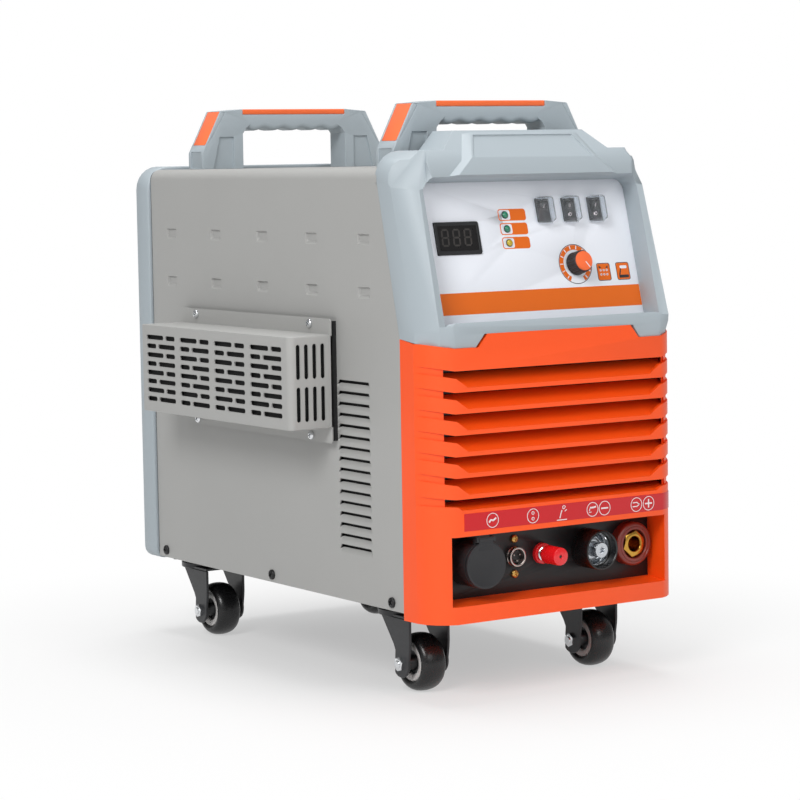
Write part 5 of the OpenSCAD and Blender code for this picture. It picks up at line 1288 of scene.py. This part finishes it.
# Power outlet: a glossy cup with contact slots under a matt sprung lid
def makeOutlet():
    outlet = {"x": -79.5, "radius": 19.9, "low": 23.5, "thick": 3, "edge": 0.7, "rim": 2.4, "sink": 0.25,
              "neck": 14.6, "neckStart": 12, "hinge": 21.8, "barrel": 2, "pin": 1.0, "pinHalf": 9.4}
    here = onConnectors(outlet["x"], rise=outlet["low"])
    r, t, e, rim = pick(outlet, "radius thick edge rim")
    face = t - outlet["sink"]
    lid = [(0, 0), (r - e, 0), (r, e), (r, t - e), (r - 0.3 * e, t - 0.3 * e), (r - e, t), (r - rim, t),
           (r - rim - 0.5, face), (0, face)]
    addTurned("outletLid", lid, here, 72, lidCharcoal, "outlet_lid", body="outlet_lid",
              replaces=["outlet_lid"])
    neck = bmesh.new()
    half, low, top = outlet["neck"] / 2, outlet["neckStart"], outlet["hinge"] + 0.4
    addPlate(neck, [(-half, low), (half, low), (half, top), (-half, top)], 0.05, t - 0.05, here)
    addPiece("outletNeck", neck, lidCharcoal, "outlet_lid", body="outlet_lid", rounding=0.5)
    barrel = bmesh.new()
    across = here @ Matrix.Translation((0, outlet["hinge"], t / 2)) \
        @ Matrix.Rotation(math.radians(90), 4, "Y")
    for radius, end, steps in ((outlet["barrel"], half, 24), (outlet["pin"], outlet["pinHalf"], 16)):
        addLathe(barrel, [(0, -end), (radius, -end), (radius, end), (0, end)], across, steps)
    addPiece("outletHinge", barrel, lidCharcoal, "outlet_lid", body="outlet_lid")


makeOutlet()


# Trigger socket: a nickel-plated shell round a black insert with three pins
def makeTrigger():
    trigger = {"x": -32, "outer": 8.5, "inner": 6.5, "rise": 6, "groove": 0.35, "floor": 1, "pin": 0.8,
               "pinRise": 4.2, "pinRing": 3.4, "pinTurns": (30, 150, 270), "tail": 18, "key": (0.8, 1.3)}
    here = onConnectors(trigger["x"])
    a, b, z, floor, tail = pick(trigger, "outer inner rise floor tail")
    waist = a - trigger["groove"]
    shell = [(b, 0), (a, 0), (a, 1.6), (waist, 1.9), (waist, 2.3), (a, 2.6), (a, z - 0.7), (a - 0.3, z - 0.2),
             (a - 0.8, z), (b + 0.6, z), (b + 0.15, z - 0.3), (b, z - 0.8), (b, 0)]
    addTurned("triggerShell", shell, here, 56, nickelTurned, "trigger_socket", replaces=["trigger_socket"])
    insert = bmesh.new()
    section = [(0, -tail), (b - 0.1, -tail), (b - 0.1, floor - 0.3), (b - 0.4, floor), (0, floor)]
    addLathe(insert, section, here, 48)
    half, deep = trigger["key"]
    addBox(insert, (-half, b - deep, 0), (half, b - 0.05, z - 1.2), here)
    addPiece("triggerInsert", insert, nylonDeepBlack, "trigger_insert", replaces=["trigger_insert"])
    pins = bmesh.new()
    p, top = pick(trigger, "pin pinRise")
    for angle in trigger["pinTurns"]:
        spot = here @ Matrix.Rotation(math.radians(angle), 4, "Z") \
            @ Matrix.Translation((trigger["pinRing"], 0, 0))
        addLathe(pins, [(0, 0), (p, 0), (p, top - 0.5), (p * 0.7, top - 0.1), (0, top)], spot, 16)
    addPiece("triggerPins", pins, nickelTurned, "trigger_insert")


makeTrigger()


# Pilot binding post: a red base, a plated waist and a polished red barrel, with a black plug in its shallow
# hole as painted shade of a deep hole
def makePilot():
    post = {"x": -3.5, "base": 9, "baseRise": 4, "waist": 6.6, "waistTop": 8.7, "barrel": 8, "low": 9,
            "top": 28, "groove": 0.25, "dot": 1.5, "dotDepth": 1.0}
    here = onConnectors(post["x"])
    b, z = pick(post, "base baseRise")
    base = [(0, 0), (b, 0), (b, z - 1), (b - 0.3, z - 0.3), (b - 1, z), (0, z)]
    addTurned("pilotBase", base, here, 48, absRed, "pilot_post", replaces=["pilot_post"])
    w, top = pick(post, "waist waistTop")
    waist = [(0, z), (w, z), (w, z + 1.2), (w - 1.2, z + 1.9), (w - 1.2, top - 1.4), (w - 0.3, top - 0.9),
             (w - 0.3, top), (0, top)]
    addTurned("pilotWaist", waist, here, 40, chromeBright, "pilot_post")
    r, low, high, dot = pick(post, "barrel low top dot")
    grip, floor = r - post["groove"], high - post["dotDepth"]
    barrel = [(0, low), (r - 0.8, low), (r, low + 0.8), (r, low + 2.6), (grip, low + 3.1), (grip, high - 1.4),
              (r - 0.6, high - 0.5), (r - 1.6, high - 0.05), (dot + 0.5, high), (dot, high - 0.35),
              (dot - 0.1, floor), (0, floor)]
    addTurned("pilotBarrel", barrel, here, 56, absRed, "pilot_cap", body="pilot_cap", replaces=["pilot_cap"])
    # The black plug in the barrel's shallow hole is painted shade of a deep hole
    holeShade = [(0, floor), (dot - 0.35, floor), (dot - 0.35, high - 0.75), (0, high - 0.65)]
    addTurned("pilotHoleShade", holeShade, here, 20, nylonDeepBlack, "pilot_cap", body="pilot_cap")


makePilot()


# Torch connector: a deep black shroud, a polished seat, a hexagon and a stud with a star recess
def makeTorchSocket():
    torch = {"x": 45.5, "radius": 17, "wall": 2, "rise": 22, "floor": 3, "seat": 14.4, "seatTop": 13.5,
             "hexagon": 10.9, "hexTop": 8.5, "stud": 6.5, "studTop": 21, "shank": 5.9, "tail": 25,
             "hole": 6.2, "star": 3.3, "starWaist": 0.62, "starDepth": 2.6, "starRim": 0.9}
    here = onConnectors(torch["x"])
    r, t, z, f = pick(torch, "radius wall rise floor")
    b, bore = torch["hole"], torch["hole"] - 0.1
    shroud = [(b, 0), (r, 0), (r, z - 0.9), (r - 0.3, z - 0.25), (r - 0.9, z), (r - t + 0.4, z),
              (r - t, z - 0.5), (r - t, f), (b, f), (b, 0)]
    addTurned("torchShroud", shroud, here, 72, nylonDeepBlack, "torch_insulator",
              replaces=["torch_insulator"])
    s, top = pick(torch, "seat seatTop")
    seat = [(bore, f), (s, f), (s, top), (s - 0.8, top), (s - 1.6, top - 1.2), (s - 2.4, f + 2.6),
            (s - 3.6, f + 1.2), (bore, f + 1.2), (bore, f)]
    addTurned("torchSeat", seat, here, 72, chromeBright, "torch_fitting", replaces=["torch_fitting"])
    stud = bmesh.new()
    a, shank, tail, high = pick(torch, "stud shank tail studTop")
    low, rim = high - torch["starDepth"], high - torch["starRim"]
    addLathe(stud, [(0, -tail), (shank, -tail), (shank, f), (a, torch["hexTop"]), (a, low), (0, low)], here,
             48)
    reach = (torch["star"] * torch["starWaist"], torch["star"])
    star = [(reach[i % 2] * math.cos(math.radians(30 * i)), reach[i % 2] * math.sin(math.radians(30 * i)))
            for i in range(12)]
    addPlate(stud, circlePoints(0, 0, a, 48), low, rim, here, [star])
    addPlate(stud, circlePoints(0, 0, a - 0.02, 48), rim, high, here, [star])
    addPiece("torchStud", stud, zincBright, "torch_fitting", rounding=0.25)
    nut = bmesh.new()
    addHexagon(nut, torch["hexagon"], f + 1.3, torch["hexTop"] + 1, here, 1.2, a + 0.15, 12)
    addPiece("torchNut", nut, zincBright, "torch_fitting", rounding=0.15)


makeTorchSocket()


# Earth socket: a pressed phenolic collar round a brass hexagon with a grooved bore
def makeEarthSocket():
    earth = {"x": 90.5, "radius": 19, "rise": 10, "ring": 15.6, "ringDepth": 0.5, "recess": 12.6,
             "hexagon": 11.9, "hexTop": 9.4, "hole": 10.2, "seat": 3, "bore": 6.7, "pitch": 1.5,
             "depth": 0.55, "low": -21.5, "tail": 10, "tailLow": -28}
    here = onConnectors(earth["x"])
    r, z, g, d, c = pick(earth, "radius rise ring ringDepth recess")
    hole, seat = pick(earth, "hole seat")
    collar = [(hole, 0), (r, 0), (r, z - 2.2), (r - 0.35, z - 1.2), (r - 1.2, z - 0.55), (g + 0.9, z - 0.1),
              (g + 0.45, z - 0.2), (g + 0.2, z - d), (g - 0.2, z - d), (g - 0.45, z - 0.1), (g - 0.8, z),
              (c + 0.5, z), (c, z - 0.5), (c, seat), (hole, seat), (hole, 0)]
    addTurned("earthCollar", collar, here, 72, phenolicBrown, "earth_insulator", replaces=["earth_insulator"])
    nut = bmesh.new()
    top, bore = pick(earth, "hexTop bore")
    addHexagon(nut, earth["hexagon"], seat + 0.2, top, here, 1.3, bore + 0.3, 18)
    addPiece("earthNut", nut, brassTurned, "earth_socket", replaces=["earth_socket"], rounding=0.2)
    tail, foot, pitch, wall = earth["tail"], earth["tailLow"], earth["pitch"], bore + 0.28
    z = top - 0.8
    sleeve = [(0, foot), (tail, foot), (tail, seat + 0.1), (wall, seat + 0.1), (wall, top - 0.5), (bore, z)]
    while z - pitch > earth["low"]:
        sleeve += [(bore + earth["depth"] * 0.45, z - pitch / 2), (bore, z - pitch)]
        z -= pitch
    sleeve += [(bore, z - 0.5), (0, z - 0.5)]
    addTurned("earthSleeve", sleeve, here, 56, brassTurned, "earth_socket", sharp=60)


makeEarthSocket()
print("connectors made")


# Casters: a pressed fork, an axle with plated nuts, and a cast tyre on a moulded hub
def makeCaster(corner, x, swivelY):
    caster = {
        "trail": 22, "axleZ": -50.2, "crownTop": -5.8, "crownLow": -11, "crown": 24, "ear": 18.4,
        "thick": 2.6, "front": 14, "elbow": (8, 11), "end": 12, "cornerRise": 12.2, "back": 29, "nut": 6.4,
        "nutRise": 2.8, "studRise": 4, "stud": 3.4, "axle": 4, "wheel": 25, "half": 12, "hubRing": 16.2,
        "ringFoot": 7, "hubInner": 10.4, "hubHalf": 17.9, "hub": 6.2, "hubBore": 4.3, "recess": 6.4,
        "crownBore": 5.2, "plateEnd": 8,
    }
    fork, wheel = "fork_" + corner, "wheel_" + corner
    name = "".join(word.capitalize() for word in corner.split("_"))
    top = Matrix.Translation((x, swivelY, 0))
    axle = Matrix.Translation((x, swivelY - caster["trail"], caster["axleZ"]))
    side = axle @ facingX()
    crownLow, crownTop, crown, bore = pick(caster, "crownLow crownTop crown crownBore")
    thick, front, rise = pick(caster, "thick front cornerRise")
    low = crownLow - caster["axleZ"]
    elbowX, elbowY = caster["elbow"]
    steel = bmesh.new()
    outline = [(-front, low), (-front, rise + 6), (-front + 0.5, rise),
               *arcPoints(0, 0, caster["end"], 168, 318, 18), (elbowX + 0.4, elbowY - 5), (elbowX, elbowY),
               (elbowX + 2.6, elbowY + 5), (caster["back"], low)]
    inner, outer = caster["ear"], caster["ear"] + thick
    for a, b in ((inner, outer), (-outer, -inner)):
        addPlate(steel, outline, a, b, side)
    addBox(steel, (-outer, -front - caster["trail"], crownLow),
           (outer, -caster["plateEnd"], crownLow + thick), top)
    addLathe(steel, [(bore, crownLow), (crown, crownLow), (crown, crownTop), (bore, crownTop),
                     (bore, crownLow)], top, 64)
    addPiece("fork" + name, steel, forkCharcoal, fork, body=fork, replaces=[fork], rounding=0.7)
    plated = bmesh.new()
    r, tip = caster["stud"], outer + caster["studRise"]
    for turn in (0, 180):  # each nut stopped at another angle
        end = side @ Matrix.Rotation(math.radians(turn), 4, "Y") @ Matrix.Rotation(0.35 + 0.3 * x, 4, "Z")
        addHexagon(plated, caster["nut"], outer, outer + caster["nutRise"], end, 0.9)
        addLathe(plated, [(0, outer), (r, outer), (r, tip - 0.7), (r - 0.7, tip), (0, tip)], end, 24)
    addPiece("axleNuts" + name, plated, chromeBright, fork, body=fork)
    shaft = [(0, -inner), (caster["axle"], -inner), (caster["axle"], inner), (0, inner)]
    addTurned("axle" + name, shaft, side, 24, zincBright, fork, body=fork)
    # Tyre: a rounded tread with plain shoulders, thicker than the hub
    r, w, ring = pick(caster, "wheel half hubRing")
    profile = [(ring, w - 2.2), (ring + 0.5, w - 0.9), (ring + 1.4, w - 0.3), (r - 6.2, w),
               (r - 4.4, w - 0.5), (r - 2.8, w - 1.7), (r - 1.5, w - 3.6), (r - 0.6, w - 6.2),
               (r - 0.1, w - 9.4), (r, 0)]
    profile += [(radius, -height) for radius, height in profile[-2::-1]]
    addTurned("tyre" + name, [*profile, profile[0]], side, 96, treadBlack, wheel, body=wheel,
              replaces=[wheel], sharp=60)
    # Hub: pale rings with a step, dark recesses and a bearing tube
    pale, dark = bmesh.new(), bmesh.new()
    inside, foot, hub, deep, reach, bore = pick(caster, "hubInner ringFoot hub recess hubHalf hubBore")
    edge, wall = ring - 0.05, inside - 0.05
    rim = [(edge, foot), (edge, w - 2.4), (ring - 0.6, w - 1.6), (ring - 1.6, w - 1.2),
           (inside + 1.0, w - 1.9), (inside + 0.4, w - 2.3), (inside, w - 3.2), (inside, foot), (edge, foot)]
    well = [(wall, 0), (wall, deep + 1.4), (inside - 0.8, deep + 1.4), (inside - 1.1, deep),
            (hub + 0.6, deep), (hub, deep + 0.6), (hub, reach - 0.5), (hub - 0.5, reach), (bore, reach),
            (bore, 0), (wall, 0)]
    for way in (1, -1):
        addLathe(pale, [(radius, way * height) for radius, height in rim], side, 72)
        addLathe(dark, [(radius, way * height) for radius, height in well], side, 72)
    addPiece("hubRing" + name, pale, hubGrey, wheel, body=wheel, sharp=50)
    addPiece("hubWell" + name, dark, nylonBlack, wheel, body=wheel, sharp=50)


for corner, x in (("front_left", -1), ("front_right", 1), ("rear_left", -1), ("rear_right", 1)):
    makeCaster(corner, x * machine["casterHalf"],
               machine["casterRearY" if "rear" in corner else "casterFrontY"])
print("casters made")


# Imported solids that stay: finish and rounding of the edges in mm
nodeFinishes = {
    "base_pan": (powderBlack, 0.5), "rear_panel": (powderGrey, 0.3), "hood_gasket": (foamBlack, 0.8),
    "control_panel": (foilWhite, 0.3), "switch_bodies": (nylonBlack, 0.3),
    "rocker_left": (nylonDeepBlack, 0.3), "rocker_middle": (nylonDeepBlack, 0.3),
    "rocker_right": (nylonDeepBlack, 0.3), "potentiometer": (zincBright, 0.4),
    "connector_panel": (powderBlack, 0.3), "outlet_body": (nylonBlack, 0.6),
    "caster_plates": (powderBlack, 0.5), "power_board": (boardGreen, 0.4),
    "heat_sinks": (aluminiumExtruded, 0.3), "transformer": (steelLaminated, 1.0),
    "control_board": (boardGreen, 0.3), "compressor": (aluminiumCast, 2.0), "air_hose": (rubberCharcoal, 0.3),
    "fan_frame": (nylonBlack, 0.6), "fan_rotor": (nylonBlack, 0.4), "breaker": (nylonBlack, 0.6),
    "breaker_toggle": (nylonDeepBlack, 0.6), "cable_gland": (nylonBlack, 0.8),
    "air_inlet": (brassTurned, 0.4), "solenoid_valve": (brassTurned, 0.8),
}


# Floor, lamps and camera
def makeStage():
    studio = {
        "floorHalf": 30, "floorColour": "#DCDCDC", "floorRough": 0.9, "skyColour": "#FFFFFF",
        "skyStrength": 0.33, "fadeStart": 0.1, "fadeEnd": 0.62, "fadeLow": 0.45, "aim": (0, 0, 0.25),
        "lamps": [  # place, size and power of each soft box, all aimed at the cabinet's middle
            ((-2.4, -1.6, 2.2), 1.2, 60), ((-0.2, -3.1, 1.9), 1.8, 30), ((0.1, 0.4, 3.2), 1.6, 62),
        ],
    }
    bm = bmesh.new()
    bmesh.ops.create_grid(bm, x_segments=8, y_segments=8, size=studio["floorHalf"])
    mesh = bpy.data.meshes.new("studioFloor")
    bm.to_mesh(mesh)
    bm.free()
    floor = bpy.data.objects.new("studioFloor", mesh)
    scene.collection.objects.link(floor)
    # Matt paper: white where the camera sees it lit, with the object's shadow kept
    material, tree, shader, place = startMaterial("mattPaperWhite")
    fibre = addNode(tree, "ShaderNodeTexNoise", {"Scale": 900.0, "Detail": 2.0},
                    {"Vector": place.outputs["Object"]})
    bump = addNode(tree, "ShaderNodeBump", {"Distance": 0.00002}, {"Height": fibre.outputs["Fac"]})
    tree.links.new(bump.outputs["Normal"], shader.inputs["Normal"])
    shader.inputs["Base Color"].default_value = toLinear(studio["floorColour"])
    shader.inputs["Roughness"].default_value = studio["floorRough"]
    away = addNode(tree, "ShaderNodeVectorMath", {"operation": "LENGTH"}, {0: place.outputs["Object"]})
    fade = addNode(tree, "ShaderNodeMapRange",
                   {"From Min": studio["fadeStart"], "From Max": studio["fadeEnd"],
                    "To Min": studio["fadeLow"], "interpolation_type": "SMOOTHSTEP"},
                    {"Value": away.outputs["Value"]})
    path = addNode(tree, "ShaderNodeLightPath").outputs
    seen = addMath(tree, "MAXIMUM", path["Is Camera Ray"], path["Is Glossy Ray"])
    seen = addMath(tree, "MAXIMUM", seen, path["Is Transmission Ray"])
    share = addMath(tree, "MULTIPLY", seen, fade.outputs["Result"])
    white = addNode(tree, "ShaderNodeEmission", {"Strength": 1.0})
    both = addNode(tree, "ShaderNodeMixShader", None,
                   {0: share, 1: shader.outputs["BSDF"], 2: white.outputs["Emission"]})
    output = [n for n in tree.nodes if n.type == "OUTPUT_MATERIAL"][0]
    tree.links.new(both.outputs["Shader"], output.inputs["Surface"])
    floor.data.materials.append(material)

    world = bpy.data.worlds.new("studioSky")
    world.use_nodes = True
    sky = world.node_tree
    sky.nodes.clear()
    path = addNode(sky, "ShaderNodeLightPath").outputs
    seen = addMath(sky, "MAXIMUM", path["Is Camera Ray"], path["Is Transmission Ray"])
    colour = toLinear(studio["skyColour"])
    dim, bright = (addNode(sky, "ShaderNodeBackground", {"Color": colour, "Strength": strength})
                   for strength in (studio["skyStrength"], 1.0))
    both = addNode(sky, "ShaderNodeMixShader", None,
                   {0: seen, 1: dim.outputs["Background"], 2: bright.outputs["Background"]})
    addNode(sky, "ShaderNodeOutputWorld", None, {"Surface": both.outputs["Shader"]})
    scene.world = world

    for number, (place, size, power) in enumerate(studio["lamps"]):
        lamp = bpy.data.lights.new("softBox%d" % number, "AREA")
        lamp.shape = "SQUARE"
        lamp.size = size
        lamp.energy = power
        holder = bpy.data.objects.new("softBox%d" % number, lamp)
        holder.location = place
        holder.rotation_euler = (Vector(studio["aim"]) - Vector(place)).to_track_quat("-Z", "Y").to_euler()
        scene.collection.objects.link(holder)

    view = {"place": (-1353.0, -1828.9, 380.0), "yaw": 33.737, "pitch": -5.231, "roll": -0.917,
            "lens": 120.19}
    yaw, pitch, roll = (math.radians(angle) for angle in pick(view, "yaw pitch roll"))
    ahead = Vector((math.sin(yaw) * math.cos(pitch), math.cos(yaw) * math.cos(pitch), math.sin(pitch)))
    side = Vector((math.cos(yaw), -math.sin(yaw), 0))
    up = side.cross(ahead)
    turnedSide = math.cos(roll) * side + math.sin(roll) * up
    turnedUp = math.cos(roll) * up - math.sin(roll) * side
    camera = bpy.data.cameras.new("studioCamera")
    camera.lens = view["lens"]
    camera.sensor_width = 36
    camera.clip_end = 100
    holder = bpy.data.objects.new("studioCamera", camera)
    holder.matrix_world = Matrix.Translation(cabinet @ Vector(view["place"])) \
        @ Matrix((turnedSide, turnedUp, -ahead)).transposed().to_4x4()
    scene.collection.objects.link(holder)
    scene.camera = holder
    scene.view_settings.view_transform = "Standard"


makeStage()
print("floor, lamps and camera in place")

for name, (material, rounding) in nodeFinishes.items():
    dressNode(name, material, rounding)
print("packed solids dressed:", len(nodeFinishes))
